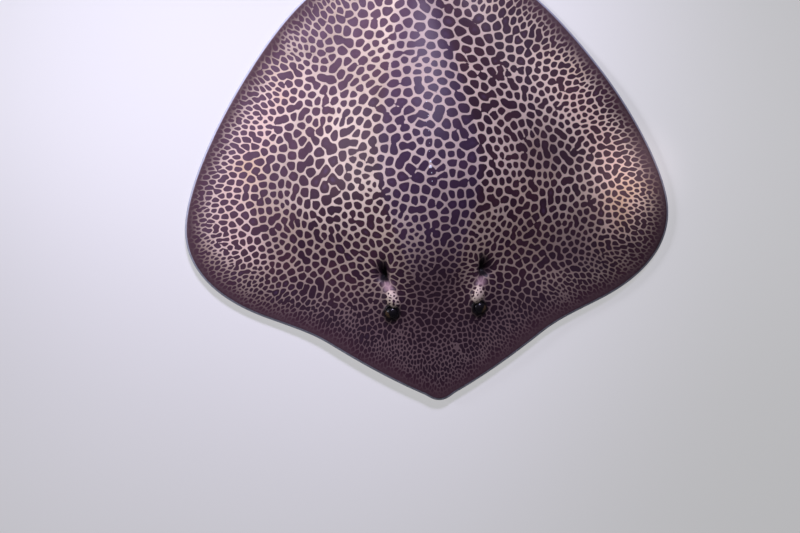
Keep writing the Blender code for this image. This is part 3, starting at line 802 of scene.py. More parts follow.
    def top_spacing(self, places: Array) -> Array:
        """Spacing wanted for the mesh of the back, fine over the eyes and spiracles."""
        disc = self.disc
        side, behind = places.T
        _, share = disc.polar(side, behind)
        net = self.netting.spacing(disc, places) / (self.fit - 0.8 * ease((share - 0.90) / 0.06))
        head = np.maximum(disc.brow_height(side, behind) / disc.brow_rise,
                          disc.spiracle_pit(side, behind) / disc.spiracle_depth)
        head = np.maximum(head, disc.lid_height(side, behind) / disc.lid_rise)
        lobes = (share > 1.0) & (np.abs(side) > 0.036)
        net = np.where(lobes, np.minimum(net, 0.0030), net)
        return net * (1 - ease(head * 3)) + np.minimum(net, self.finest * 1.02) * ease(head * 3)

    def low_spacing(self, places: Array) -> Array:
        """Spacing wanted for the mesh of the underside."""
        side, behind = places.T
        _, share = self.disc.polar(side, behind)
        plain = 0.024 - 0.013 * ease((share - 0.86) / 0.12)
        fine = self.relief.fine(side, behind)
        return plain * (1 - fine) + self.finest * 1.35 * fine

    def close(self, side: Array, behind: Array, edge: Array) -> tuple[Array, Array]:
        """Heights of the back and of the underside, drawn together in a round rim at the margin."""
        low, high = self.disc.underside(side, behind), self.disc.topside(side, behind)
        near = 1 - np.minimum(edge / self.disc.rim_round, 1.0)
        drawn = (high - low) / 2 * (1 - np.sqrt(np.maximum(1 - near ** 2, 0)))
        return high - drawn, low + drawn

    def build(self, finish: bpy.types.Material) -> bpy.types.Object:
        """Make the skin in a finish and put it in place of the nodes of flesh."""
        disc, root_half = self.disc, self.disc.root_half
        margin = self.margin()
        turn = np.linspace(math.pi, 0, self.cut_points)[1:-1]
        shares = np.cos(turn)
        cut = np.stack([shares * root_half, np.full(len(shares), disc.trunk_end)], 1)
        low_cut = np.stack([np.array(self.low_shares) * root_half,
                            np.full(len(self.low_shares), disc.trunk_end)], 1)
        rim_count = len(margin)

        upper = np.concatenate([margin, cut, self.inset_rows(margin, self.insets),
                                self.lattice(margin, self.top_spacing, self.insets[-1])])
        lower = np.concatenate([margin, low_cut[::-1], self.inset_rows(margin, self.insets[1:]),
                                self.lattice(margin, self.low_spacing, self.insets[-1])])
        upper_faces = self.joined(upper, rim_count + len(cut))
        lower_faces = self.joined(lower, rim_count + len(low_cut))[:, ::-1]
        LOG.info("plan: %d points above, %d below, %d on the rim", len(upper), len(lower), rim_count)

        edge = gap_to(upper, margin)
        edge[:rim_count] = 0
        low_edge = gap_to(lower, margin)
        low_edge[:rim_count] = 0
        top_z, _ = self.close(*upper.T, edge)
        _, low_z = self.close(*lower.T, low_edge)
        low_z = low_z + self.relief.recess(*lower.T) * ease(low_edge / 0.01)
        low_z[:rim_count] = top_z[:rim_count]

        # rows of vertices: above, then below without the rim, then the tail's rings
        start_low = len(upper)
        lower_at = np.concatenate([np.arange(rim_count),
                                   start_low + np.arange(len(lower) - rim_count)])
        rings, ring_marks = self.tail_rings(top_z[rim_count:rim_count + len(cut)],
                                            low_z[rim_count:rim_count + len(low_cut)][::-1],
                                            top_z[0])
        first_ring = start_low + len(lower) - rim_count
        width = rings.shape[1]
        ring0 = np.concatenate([[rim_count - 1], rim_count + np.arange(len(cut)), [0],
                                lower_at[rim_count:rim_count + len(low_cut)][::-1]])
        index = np.concatenate([ring0[None], first_ring + np.arange(rings.shape[0] * width).reshape(
            rings.shape[0], width)])
        a, b = index[:-1], index[1:]
        tube = np.stack([a, np.roll(a, -1, 1), np.roll(b, -1, 1), b], -1).reshape(-1, 4)
        tip = first_ring + rings.shape[0] * width
        cap = np.stack([index[-1], np.roll(index[-1], -1), np.full(width, tip)], 1)

        def placed(points: Array, z: Array) -> Array:
            """Turn plan points and heights into points in metres."""
            return np.stack([points[:, 0], points[:, 1] - disc.origin_behind, z], 1)

        tip_point = rings[-1].mean(0) + (rings[-1].mean(0) - rings[-2].mean(0)) * 0.3
        points = np.concatenate([placed(upper, top_z), placed(lower[rim_count:], low_z[rim_count:]),
                                 rings.reshape(-1, 3), tip_point[None]])
        marks = self.marks(len(points), upper, edge, lower[rim_count:], low_edge[rim_count:],
                           ring_marks)
        faces = [np.concatenate([upper_faces, lower_at[lower_faces], cap]), tube]
        skin = new_mesh("whipray_skin", points, faces, finish)
        marks.put_on(skin.data)
        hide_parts("snout", "head", "trunk", "pectoral_fin_left", "pectoral_fin_right",
                    "pelvic_fin_left", "pelvic_fin_right", "tail_base", "tail_fore", "tail_middle",
                    "tail_whip", "tail_tip")
        return skin

    def tail_rings(self, top_z: Array, low_z: Array, corner_z: float) -> tuple[Array, dict]:
        """Rings of the tail after its root, each going round from the -X edge over the top.

        Args:
            top_z: heights across the top of the root.
            low_z: heights across its underside, from the +X edge.
            corner_z: height of its two edges.

        Returns:
            The rings as rows of points, and for each point the distance along the tail, the signed
            distance round it from the top's middle, and 1 underneath.
        """
        tail, count = self.tail, self.cut_points - 2
        more, start, over = tail.ring_growth
        at = [tail.ring_step]
        while at[-1] < tail.length - tail.end_clear[0]:
            at.append(at[-1] + tail.ring_step + more * float(ease((at[-1] - start) / over)))
        at = np.minimum(np.array(at), tail.length - tail.end_clear[1])[:, None]
        shares = np.concatenate([[-1], np.cos(np.linspace(math.pi, 0, self.cut_points)[1:-1]), [1],
                                 self.low_shares])[None]
        half, high = keyed(at, tail.half), keyed(at, tail.high)
        low = tail.widest * high
        dome = low + (high - low) * np.maximum(1 - shares ** 2, 0) ** tail.crown_power
        past = np.maximum(np.abs(shares) - tail.flat, 0) / (1 - tail.flat)
        keel = low * (1 - np.sqrt(np.maximum(1 - past ** 2, 0)))
        under = np.zeros(shares.shape[1])
        under[count + 2:] = 1
        root = np.concatenate([[corner_z], top_z, [corner_z], low_z])[None]
        blend = ease(at / tail.blend)
        z = root * (1 - blend) + np.where(under, keel, dome) * blend
        side, back, heading = tail.line(at)
        x = side + shares * half * np.cos(heading)
        y = back - shares * half * np.sin(heading) + self.disc.trunk_end - self.disc.origin_behind
        rings = np.stack([x, y, z], -1)
        steps = np.linalg.norm(np.diff(rings[:, :count + 2], axis=1), axis=2)
        arc = np.concatenate([np.zeros((len(at), 1)), np.cumsum(steps, axis=1)], 1)
        arc = arc - arc[:, (count + 2) // 2][:, None]
        around = np.concatenate([arc, np.repeat(arc[:, -1:], len(self.low_shares), 1)], 1)
        flat = np.broadcast_to(at, z.shape)
        return rings, {"along": flat.ravel(), "around": around.ravel(),
                       "under": np.broadcast_to(under, z.shape).ravel()}

    def marks(self, count: int, upper: Array, edge: Array, lower: Array, low_edge: Array,
              ring: dict) -> Marks:
        """Work out what the vertices carry: the netting, where they lie, and the head's places."""
        disc = self.disc
        marks = Marks(count)
        top, low = slice(0, len(upper)), slice(len(upper), len(upper) + len(lower))
        rings = slice(low.stop, count - 1)
        ground, area = self.ground()
        cells = self.netting.grow(disc, ground, area)
        LOG.info("netting: %d cells", len(cells.seeds))
        near = ring["along"] < self.net_to
        on_tail = np.stack([ring["around"], disc.trunk_end + ring["along"]], 1)
        side, behind = upper.T
        marks.add(slice(0, count), tone=0.5, edge=self.edge_far, fair=0.6,
                  **{f"near_{k}": 1.0 + k for k in range(KINDS)})
        marks.add(top, edge=np.minimum(edge, self.edge_far), **cells.read(upper),
                  size=self.netting.spacing(disc, upper),
                  brow=disc.brow_height(side, behind) / disc.brow_rise,
                  # depth share of each spiracle pit, which darkens the markings there as painted shade
                  pit=disc.spiracle_pit(side, behind) / disc.spiracle_depth,
                  **{name: getattr(self, name)(side, behind) for name in (
                      "core", "fair", "hole", "wing", "band", "bloom", "flank", "socket")})
        # painted shade in the mouth, nostrils, gill slits, vent and folds of the underside, fuller where
        # they are deeper
        marks.add(low, under=1.0, edge=np.minimum(low_edge, self.edge_far),
                  hole=np.clip(self.relief.recess(*lower.T) / self.painted_hole_shade_depth, 0, 1))
        marks.add(np.flatnonzero(near) + rings.start, **cells.read(on_tail[near]),
                  size=self.netting.spacing(disc, on_tail[near]))
        marks.add(rings, under=ring["under"], along=ring["along"], band=1 - ring["under"])
        marks.add(slice(count - 1, count), along=self.tail.length)
        return marks

    def ground(self) -> tuple[Array, float]:
        """Places spread evenly over the disc and the tail's root, and the area each stands for."""
        step = self.ground_step
        x, y = np.meshgrid(np.arange(-0.52, 0.52, step), np.arange(-0.01, 1.24, step))
        places = np.stack([x.ravel(), y.ravel()], 1)
        margin = self.margin()
        root = (places[:, 1] > self.disc.trunk_end - 0.02) & (np.abs(places[:, 0]) < 0.042)
        places = places[inside(places, margin) | root]
        return places + np.random.default_rng(2).uniform(-0.5, 0.5, places.shape) * step, step * step

    def core(self, side: Array, behind: Array) -> Array:
        """1 on the snout and down the middle of the head, where the markings are dimmer, and on two soft
        spots of painted shade on the +X side.
        """
        snout = ease((self.snout_fade[0] - behind) / self.snout_fade[1])
        middle = np.exp(-(side / self.head_half) ** 4) * ease(
            (self.head_fade[0] - behind) / self.head_fade[1])
        return np.maximum.reduce([snout, middle, self.patches(side, behind, self.painted_shade_spots)])

    def fair(self, side: Array, behind: Array) -> Array:
        """How pale the net's lines are: most over the rear and out on the wings, least in front, with soft
        spots of painted light and painted shade laid on.
        """
        rear = ease((behind - self.fair_rear[0]) / self.fair_rear[1])
        inner = ease((np.abs(side) - self.fair_inner[0]) / self.fair_inner[1]) * (
            1 - ease((behind - self.fair_front[0]) / self.fair_front[1]))
        return (self.fair_base + 0.40 * rear - 0.15 * inner + 0.80 * self.wing(side, behind)
                + self.patches(side, behind, self.painted_light_and_shade_spots))

    def wing(self, side: Array, behind: Array) -> Array:
        """1 along a warmer band inside the dark margin of each wing."""
        _, share = self.disc.polar(side, behind)
        return (np.exp(-((share - self.wing_share[0]) / self.wing_share[1]) ** 2)
                * ease((behind - self.wing_from[0]) / self.wing_from[1])
                * ease((self.wing_to[0] - behind) / self.wing_to[1]))

    def bloom(self, side: Array, behind: Array) -> Array:
        """Share of a painted glare that lightens the cells, over the rear of the right half of the back."""
        start, over = self.painted_glare_from
        return self.painted_glare_most * np.clip((behind - side - start) / over, 0, 1)

    def patches(self, side: Array, behind: Array, among: tuple) -> Array:
        """Sum of soft oval patches, given as side, distance behind, two reaches and strength."""
        return sum(strength * np.exp(-((side - x) / wide) ** 2 - ((behind - y) / long) ** 2)
                   for x, y, wide, long, strength in among)

    def band(self, side: Array, behind: Array) -> Array:
        """1 on the rough band of denticles down the middle of the back, whose colour is partly a painted
        violet glare.
        """
        across = ease((keyed(behind, self.band_half) - np.abs(side)) / self.band_fade)
        return across * ease((behind - self.band_from[0]) / self.band_from[1])

    def hole(self, side: Array, behind: Array) -> Array:
        """1 in the opening of a spiracle, a wedge that is wide in front and narrow behind, where the skin
        is darkened as painted shade.
        """
        u, v = self.disc.spiracle.offsets(side, behind)
        reach = 0.0215 - 0.0110 * ease((v + 0.012) / 0.036)
        wedge = ease((u + 0.0042) / 0.0030) * ease((reach - u) / 0.0150)
        return wedge * ease((0.0290 - v) / 0.020) * ease((v + 0.0180) / 0.006)

    def flank(self, side: Array, behind: Array) -> Array:
        """1 on the smooth bare patch between a spiracle and the brow before it."""
        u, v = np.abs(side) - self.flank_at[0], behind - self.flank_at[1]
        return np.exp(-((u / self.flank_half[0]) ** 2 + (v / self.flank_half[1]) ** 2) ** 1.3)

    def socket(self, side: Array, behind: Array) -> Array:
        """1 on the skin round an eyeball, which is darkened there as painted shade."""
        return ease((self.painted_eye_shade_reach[0] - self.disc.from_eye(side, behind)) / self.painted_eye_shade_reach[1])


# ---------------------------------------------------------------- finishes

class Value:
    """A number in a material: ordinary sums on it add Math nodes."""

    def __init__(self, paint: "Paint", socket: bpy.types.NodeSocket) -> None:
        """Wrap a socket."""
        self.paint, self.socket = paint, socket

    def math(self, kind: str, *others: "Value | float") -> "Value":
        """Add one Math node of a kind, with this value first."""
        return self.paint.math(kind, self, *others)

    def __add__(self, other: "Value | float") -> "Value":
        """Sum."""
        return self.math("ADD", other)

    def __radd__(self, other: float) -> "Value":
        """Sum, with a number first."""
        return self.math("ADD", other)

    def __sub__(self, other: "Value | float") -> "Value":
        """Difference."""
        return self.math("SUBTRACT", other)

    def __rsub__(self, other: float) -> "Value":
        """Difference, with a number first."""
        return self.paint.math("SUBTRACT", other, self)

    def __mul__(self, other: "Value | float") -> "Value":
        """Product."""
        return self.math("MULTIPLY", other)

    def __rmul__(self, other: float) -> "Value":
        """Product, with a number first."""
        return self.math("MULTIPLY", other)

    def __truediv__(self, other: "Value | float") -> "Value":
        """Quotient."""
        return self.math("DIVIDE", other)

    def power(self, by: float) -> "Value":
        """Raise to a power."""
        return self.math("POWER", by)

    def lower(self, other: "Value | float") -> "Value":
        """The lower of two."""
        return self.math("MINIMUM", other)

    def higher(self, other: "Value | float") -> "Value":
        """The higher of two."""
        return self.math("MAXIMUM", other)

    def between(self, start: float, end: float) -> "Value":
        """Go smoothly from 0 to 1 as the value goes from start to end."""
        return self.paint.node("MapRange", {"interpolation_type": "SMOOTHSTEP"},
                               {"Value": self, "From Min": start, "From Max": end})


class Paint:
    """Builds a material around one Principled shader."""

    def __init__(self, name: str, **constants: object) -> None:
        """Start a material and set the shader's constant inputs, with _ for a space in their names."""
        self.material = bpy.data.materials.new(name)
        self.material.use_nodes = True
        self.tree = self.material.node_tree
        self.shader = next(n for n in self.tree.nodes if n.type == "BSDF_PRINCIPLED")
        for key, value in constants.items():
            self.shader.inputs[key.replace("_", " ")].default_value = value
        self.place = self.node("TexCoord", output="Object")

    def plug(self, socket: bpy.types.NodeSocket, given: object) -> None:
        """Link a value or a socket to an input, or set the input to a constant."""
        given = given.socket if isinstance(given, Value) else given
        if isinstance(given, bpy.types.NodeSocket):
            self.tree.links.new(given, socket)
        elif isinstance(given, tuple) and len(given) == 3 and socket.type == "RGBA":
            socket.default_value = (*given, 1.0)
        else:
            socket.default_value = given

    def node(self, kind: str, settings: dict | None = None, sockets: dict | None = None,
             output: str | int = 0) -> Value:
        """Add a node.

        Args:
            kind: its type without the ShaderNode before it.
            settings: its properties.
            sockets: what goes into its inputs, by name or number.
            output: the output to return.

        Returns:
            The output as a value.
        """
        made = self.tree.nodes.new("ShaderNode" + kind)
        for key, value in (settings or {}).items():
            setattr(made, key, value)
        for key, value in (sockets or {}).items():
            self.plug(made.inputs[key], value)
        return Value(self, made.outputs[output])

    def math(self, kind: str, *terms: Value | float) -> Value:
        """Add a Math node over some terms."""
        return self.node("Math", {"operation": kind}, dict(enumerate(terms)))

    def mark(self, name: str) -> Value:
        """Read a value carried by the mesh."""
        return self.node("Attribute", {"attribute_name": name}, output="Fac")

    def noise(self, scale: float, detail: float = 2.0, rough: float = 0.5, twist: float = 0.0) -> Value:
        """Noise of a scale per metre, about 0 to 1."""
        return self.node("TexNoise", {}, {"Vector": self.place, "Scale": scale, "Detail": detail,
                                          "Roughness": rough, "Distortion": twist}, output=0)

    def mix(self, share: Value | float, first: object, second: object) -> Value:
        """Go from a first colour to a second as a share goes from 0 to 1."""
        return self.node("Mix", {"data_type": "RGBA"}, {0: share, 6: first, 7: second}, output=2)

    def bump(self, height: Value, strength: float, distance: float, below: Value | None = None) -> Value:
        """Turn a height in units of a distance into a normal, over another bump if one is given."""
        sockets = {"Height": height, "Strength": strength, "Distance": distance}
        if below is not None:
            sockets["Normal"] = below
        return self.node("Bump", {}, sockets)

    def to_shader(self, **values: object) -> None:
        """Send varying values to the shader's inputs, with _ for a space in their names."""
        for key, value in values.items():
            self.plug(self.shader.inputs[key.replace("_", " ")], value)


@dataclass(frozen=True)
class NettedSkin:
    """The skin's finish: pale net on dark cells, dark rim, white belly and a dark tail, with painted glare
    on the back and painted shade in the spiracles, round the eyes and in the underside's recesses.
    """
    line_width: float = 0.152
    soft: float = 0.140
    cream: Colour = (0.67, 0.550, 0.430)
    tan: Colour = (0.385, 0.300, 0.225)
    rose: Colour = (0.82, 0.58, 0.45)
    gold: Colour = (0.60, 0.42, 0.21)
    cell: Colour = (0.032, 0.012, 0.023)
    cell_warm: Colour = (0.060, 0.022, 0.030)
    cell_centre: Colour = (0.085, 0.050, 0.110)
    # colours of the dimmed markings, also used for painted shade
    snout_and_shade_line: Colour = (0.110, 0.064, 0.072)
    snout_and_shade_cell: Colour = (0.024, 0.011, 0.018)
    # colours of the band of denticles, the cells' violet a painted glare
    band_line: Colour = (0.34, 0.26, 0.29)
    band_cell: Colour = (0.050, 0.030, 0.074)
    # colour the cells take under the painted glare
    bloom: Colour = (0.140, 0.082, 0.112)
    margin: Colour = (0.080, 0.043, 0.048)
    margin_cell: Colour = (0.060, 0.022, 0.032)
    flank: Colour = (0.50, 0.33, 0.34)
    rim: Colour = (0.50, 0.54, 0.62)
    belly: Colour = (0.74, 0.70, 0.65)
    belly_edge: Colour = (0.20, 0.155, 0.14)
    tail: Colour = (0.020, 0.014, 0.013)
    tail_pale: Colour = (0.30, 0.22, 0.17)
    # near black of the painted shade in the spiracles, round the eyeballs and in the underside's recesses
    pit: Colour = (0.004, 0.003, 0.004)

    def walls(self, p: Paint) -> Value:
        """Distance from the walls in cell spacings, 0 on them and less where several meet.

        With d the distances to the kinds, it is -soft times the logarithm of the sum over the kinds
        of exp((least d - d) / soft), less 1 for the nearest kind's own part.
        """
        spans = [p.mark(f"near_{k}").power(0.5) for k in range(KINDS)]
        first, total = spans[0], -1.0
        for span in spans[1:]:
            first = first.lower(span)
        for span in spans:
            total = total + ((first - span) / self.soft).math("EXPONENT")
        return total.higher(1e-6).math("LOGARITHM", math.e) * -self.soft

    def make(self) -> bpy.types.Material:
        """Build the material."""
        p = Paint("netted_skin", IOR=1.40, Specular_IOR_Level=0.34)
        wall, edge, under = self.walls(p), p.mark("edge"), p.mark("under")
        brow, core, along = p.mark("brow"), p.mark("core"), p.mark("along")
        broad, middling, fine = p.noise(5.0, 2.0), p.noise(48.0, 3.0), p.noise(300.0, 3.0, 0.6)
        edge_at = edge + (p.noise(22.0, 3.0) - 0.5) * 0.022

        coarse, small = p.noise(52.0, 1.0), p.noise(92.0, 1.0)
        gaps = small + (coarse - small) * p.mark("size").between(0.013, 0.018)
        gap = gaps.between(0.63, 0.78)
        width = self.line_width + (middling - 0.5) * 0.10 + (fine - 0.5) * 0.08
        width = width + brow.between(0.12, 0.60) * 0.17 - gap * 0.34
        line = (width - wall).between(-0.050, 0.050)
        centre = (wall - 0.45).between(0.0, 0.45) * p.noise(26.0, 2.0).between(0.45, 0.70)
        warmth = p.noise(13.0, 2.0).between(0.40, 0.66)
        wing = p.mark("wing")
        cell = p.mix(warmth * 0.4 + p.mark("tone") * 0.4 + wing * 0.7, self.cell, self.cell_warm)
        cell = p.mix(centre * 0.6, cell, self.cell_centre)
        # the lines' paleness, which also carries spots of painted light and painted shade
        fair = (broad - 0.5) * 0.7 + (middling - 0.5) * 0.5 + p.mark("fair")
        pale = p.mix(fair.between(0.15, 0.85), self.tan, self.cream)
        pale = p.mix(wing * 0.5, pale, self.rose)
        pale = p.mix(p.noise(7.0, 2.0).between(0.50, 0.68) * (0.15 + wing * 0.45), pale, self.gold)
        pale = p.mix(brow.between(0.1, 0.6), pale, self.cream)

        # dim: the markings darken on the snout and down the middle of the head, and as painted shade in the
        # spots on the +X side and down in the spiracle pits
        dim = core.higher(p.mark("pit").between(0.01, 0.30)) * (1 - brow.between(0.1, 0.5))
        pale = p.mix(dim * 0.85, pale, self.snout_and_shade_line)
        cell = p.mix(dim * 0.8, cell, self.snout_and_shade_cell)
        # the band of denticles: duller lines and violet cells, the violet a painted glare
        band = p.mark("band") * (0.6 + coarse * 0.6) * (1 - dim) * (1 - brow.between(0.1, 0.5))
        pale = p.mix(band * 0.35, pale, self.band_line)
        cell = p.mix(band * 0.45, cell, self.band_cell)
        # painted glare: the cells turn a pale violet grey over the rear of the right half of the back
        cell = p.mix(p.mark("bloom") * (0.5 + middling), cell, self.bloom)
        fading = 1 - edge_at.between(0.006, 0.052)
        cell = p.mix(fading * 0.80, cell, self.margin_cell)
        pale = p.mix(fading * 0.82, pale, self.margin)
        back = p.mix(line, cell, pale)
        back = p.mix((1 - edge_at.between(0.004, 0.022)) * 0.85, back, self.margin)

        dark = along.between(0.06, 0.20)
        saddles = p.math("SINE", along * 118.0 + (p.noise(9.0) - 0.5) * 9.0
                         + (middling - 0.5) * 3.2).between(0.45, 1.0) * (0.4 + fine)
        mottle = p.noise(60.0, 4.0, 0.6).between(0.50, 0.70) * (1 - along.between(0.25, 0.75))
        tail = p.mix((saddles * 0.30).higher(mottle * 0.35), self.tail, self.tail_pale)
        back = p.mix(dark, back, tail)

        belly_mottle = (p.noise(34.0, 4.0) - 0.5) * 0.014
        belly = p.mix(1 - (edge + belly_mottle).between(0.010, 0.034), self.belly, self.belly_edge)
        belly = p.mix(along.between(0.03, 0.15), belly, self.tail)
        colour = p.mix(under, back, belly)
        rim = (1 - edge.between(0.0020, 0.0046)) * (1 - under * 0.5)
        colour = p.mix(rim * 0.85, colour, self.rim)
        flank = p.mark("flank") * (0.45 + fine * 0.5) * (1 - brow.between(0.2, 0.6))
        colour = p.mix(flank, colour, self.flank)
        # Painted shade: near black in the spiracle openings and round the eyeballs, and a lighter painted
        # shade in the recesses of the underside
        shade = p.mark("hole").higher(p.mark("socket") * (1 - brow.between(0.35, 0.75)))
        colour = p.mix(shade * (0.96 - under * 0.66), colour, self.pit)

        grain = p.noise(620.0, 3.0, 0.6)
        skin_bump = p.bump(grain, 0.35, 0.0004)
        skin_bump = p.bump(line * (1 - under) * 0.5 + middling * 0.5, 0.20, 0.0005, skin_bump)
        scales = p.node("TexVoronoi", {}, {"Vector": p.place, "Scale": 480.0}, output="Distance")
        skin_bump = p.bump((1 - scales) * p.mark("band"), 0.30, 0.0004, skin_bump)
        rough = 0.46 + (fine - 0.5) * 0.16 + line * 0.04
        p.to_shader(Base_Color=colour, Roughness=rough, Normal=skin_bump)
        return p.material


@dataclass(frozen=True)
class EyeFinish:
    """Wet eyeball: black outside, a bronze ring flecked with gold, and a bent pupil."""
    dark: Colour = (0.006, 0.005, 0.006)
    bronze: Colour = (0.045, 0.027, 0.013)
    gold: Colour = (0.160, 0.105, 0.042)

    def make(self) -> bpy.types.Material:
        """Build the material."""
        p = Paint("wet_eye", Roughness=0.35, IOR=1.34, Specular_IOR_Level=0.3,
                  Coat_Weight=0.20, Coat_Roughness=0.06)
        x, y = p.mark("across"), p.mark("down")
        out = (x * x + y * y).power(0.5)
        pupil = (x * x / 0.30 + (y + 0.10) * (y + 0.10) / 0.085).between(1.25, 0.95)
        flap = ((x * x) * 1.1 + 0.02 - y).between(-0.03, 0.03) * (1 - out.between(0.30, 0.42))
        iris = p.mix(p.noise(1500.0, 3.0, 0.7).between(0.48, 0.70), self.bronze, self.gold)
        inner = p.mix(pupil * (1 - flap * 0.9), iris, self.dark)
        p.to_shader(Base_Color=p.mix(out.between(0.66, 0.74), inner, self.dark))
        return p.material


class Hard(Enum):
    """Finishes of the hard parts, as colour, darker colour and roughness."""
    STING = ((0.56, 0.46, 0.33), (0.22, 0.15, 0.09), 0.38)
    PEARL = ((0.74, 0.77, 0.82), (0.52, 0.53, 0.56), 0.22)

    def make(self) -> bpy.types.Material:
        """Build the material, streaked and grained."""
        light, dark, rough = self.value
        p = Paint(self.name.lower() + "_bone", Roughness=rough, IOR=1.5, Coat_Weight=0.15)
        grain = p.noise(420.0, 4.0, 0.65)
        p.to_shader(Base_Color=p.mix(grain.between(0.42, 0.72), light, dark),
                    Normal=p.bump(grain, 0.3, 0.0002))
        return p.material


# ---------------------------------------------------------------- eyes, sting and nape thorns

@dataclass
class Eyes:
    """The two eyeballs, each turned outwards, forwards and up."""
    disc: Disc
    gaze: Point = (0.84, -0.42, 0.20)
    bulge: float = 0.05
    rings: int = 40
    around: int = 64

    def build(self, finish: bpy.types.Material) -> list[bpy.types.Object]:
        """Make both eyeballs: spheres about the line of sight, the clear front standing out a little."""
        made = []
        for name, sign in (("eyeball_left", 1), ("eyeball_right", -1)):
            middle = self.disc.eye_middle(sign) - (0, self.disc.origin_behind, 0)
            ahead = np.array([self.gaze[0] * sign, *self.gaze[1:]])
            ahead = ahead / np.linalg.norm(ahead)
            sideways = np.cross((0, 0, 1.0), ahead)
            sideways /= np.linalg.norm(sideways)
            upwards = np.cross(ahead, sideways)
            off = np.linspace(0, math.pi, self.rings + 1)[1:-1, None]
            turn = np.arange(self.around)[None] * 2 * math.pi / self.around
            x, y = np.sin(off) * np.cos(turn), np.sin(off) * np.sin(turn)
            z = np.broadcast_to(np.cos(off), x.shape)
            reach = self.disc.eye_radius * (1 + self.bulge * np.exp(-(off / 0.55) ** 4) + 0 * x)
            local = np.stack([x, y, z], -1) * reach[..., None]
            radius = self.disc.eye_radius
            ends = np.array([[0, 0, radius * (1 + self.bulge)], [0, 0, -radius]])
            local = np.concatenate([local.reshape(-1, 3), ends])
            points = middle + local @ np.stack([sideways, upwards, ahead])
            eye = new_mesh(name, points, ring_faces(1, self.rings - 1, self.around), finish)
            facing = local[:, 2] > 0
            marks = Marks(len(points))
            unit = local / np.linalg.norm(local, axis=1)[:, None]
            marks.add(slice(0, len(points)), across=np.where(facing, unit[:, 0], 1),
                      down=np.where(facing, unit[:, 1], 1))
            marks.put_on(eye.data)
            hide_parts("eye_left" if sign > 0 else "eye_right")
            made.append(eye)
        return made


@dataclass
class Sting:
    """Flat tapering spine on the tail, with a groove on top and barbs that point back to its root."""
    tail: Tail
    disc: Disc
    at: float = 0.235
    length: float = 0.098
    half: float = 0.0036
    thick: float = 0.0028
    barbs: int = 13
    rise: float = math.radians(3.0)
    lift: float = 0.0002
    stations: int = 240
    around: int = 24

    def build(self, finish: bpy.types.Material) -> bpy.types.Object:
        """Carry a flat grooved section along the spine; the edges step in and out at each barb."""
        t = np.linspace(0, 1, self.stations)[:, None]
        taper = (1 - 0.70 * t ** 1.6) * ease((1 - t) / 0.10) ** 0.7 * (0.75 + 0.25 * ease(t / 0.15))
        saw = (t * 0.93 * self.barbs / 0.71 - 0.2) % 1.0
        barb = 1 - 0.26 * np.where((t > 0.20) & (t < 0.93), ease(saw / 0.30) * (1 - saw) ** 0.7, 0.4)
        half = self.half * taper
        turn = np.linspace(0, 2 * math.pi, self.around, endpoint=False)[None]
        side = np.cos(turn) * half * np.where(np.abs(np.cos(turn)) > 0.8, barb, 0.86)
        crown = self.thick * (1 - 0.6 * t) * ease((1 - t) / 0.06)
        groove = 1 - 0.22 * np.exp(-(np.cos(turn) / 0.20) ** 2) * (np.sin(turn) > 0)
        up = 0.5 * crown * (1 + np.sin(turn) * groove)
        x0, y0, heading = (float(v) for v in self.tail.line(self.at))
        y0 += self.disc.trunk_end - self.disc.origin_behind
        ahead = self.length * t
        base = float(keyed(self.at, self.tail.high)) + self.lift
        points = np.stack([x0 + side * math.cos(heading) + ahead * math.sin(heading),
                           y0 - side * math.sin(heading) + ahead * math.cos(heading),
                           base + ahead * math.sin(self.rise) + up], -1)
        ends = [points[0].mean(0), points[-1].mean(0)]
        piece = new_mesh("sting_spine", np.concatenate([points.reshape(-1, 3), ends]),
                         ring_faces(1, self.stations, self.around), finish)
        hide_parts("tail_sting")
        return piece


@dataclass
class Thorns:
    """Pearly thorns down the middle of the back: two hearts at the nape, small ones before and behind."""
    disc: Disc
    hearts: tuple = ((0.0000, 0.4665, 0.0070), (0.0004, 0.4770, 0.0052))
    row: tuple[float, float, int] = (0.425, 0.600, 13)
    high: float = 0.26            # rise over the skin and depth below it, as shares of the length
    deep: float = 0.20
    clear: float = 0.0100
    seed: int = 11
    rings: int = 9
    around: int = 16

    def places(self) -> Array:
        """Side, distance behind the snout and length of every thorn."""
        rng = np.random.default_rng(self.seed)
        start, end, count = self.row
        small = np.stack([rng.normal(0, 0.0012, count),
                          np.linspace(start, end, count) + rng.normal(0, 0.002, count),
                          rng.uniform(0.0014, 0.0024, count)], 1)
        hearts = np.array(self.hearts)
        off = np.abs(small[:, None, 1] - hearts[None, :, 1]).min(1)
        return np.concatenate([hearts, small[off > self.clear]])

    def build(self, finish: bpy.types.Material) -> bpy.types.Object:
        """Make the thorns: low domes, heart-shaped in plan with the point backwards, sunk in the skin."""
        side, behind, long = (row[:, None, None] for row in self.places().T)
        drop = np.linspace(0, math.pi, self.rings + 2)[1:-1][None, :, None]
        turn = (np.arange(self.around) * 2 * math.pi / self.around)[None, None]
        plan = 0.5 * long * np.sin(drop) * (1 - 0.16 * np.exp(-(np.sin(turn / 2) / 0.25) ** 2))
        x = side + plan * 0.84 * np.sin(turn)
        y = behind - plan * np.cos(turn) * (1 - 0.20 * np.cos(turn))
        base = self.disc.topside(side, behind)
        up = np.where(np.cos(drop) > 0, self.high, self.deep) * long * np.cos(drop)
        z = base + up + 0 * x
        origin = self.disc.origin_behind
        parts = ((x, y - origin, z), (side, behind - origin, base + self.high * long),
                 (side, behind - origin, base - self.deep * long))
        points = np.concatenate([np.stack(part, -1).reshape(-1, 3) for part in parts])
        faces = ring_faces(len(side), self.rings, self.around)
        return new_mesh("nape_thorns", points, faces, finish)


# ---------------------------------------------------------------- floor, light and camera

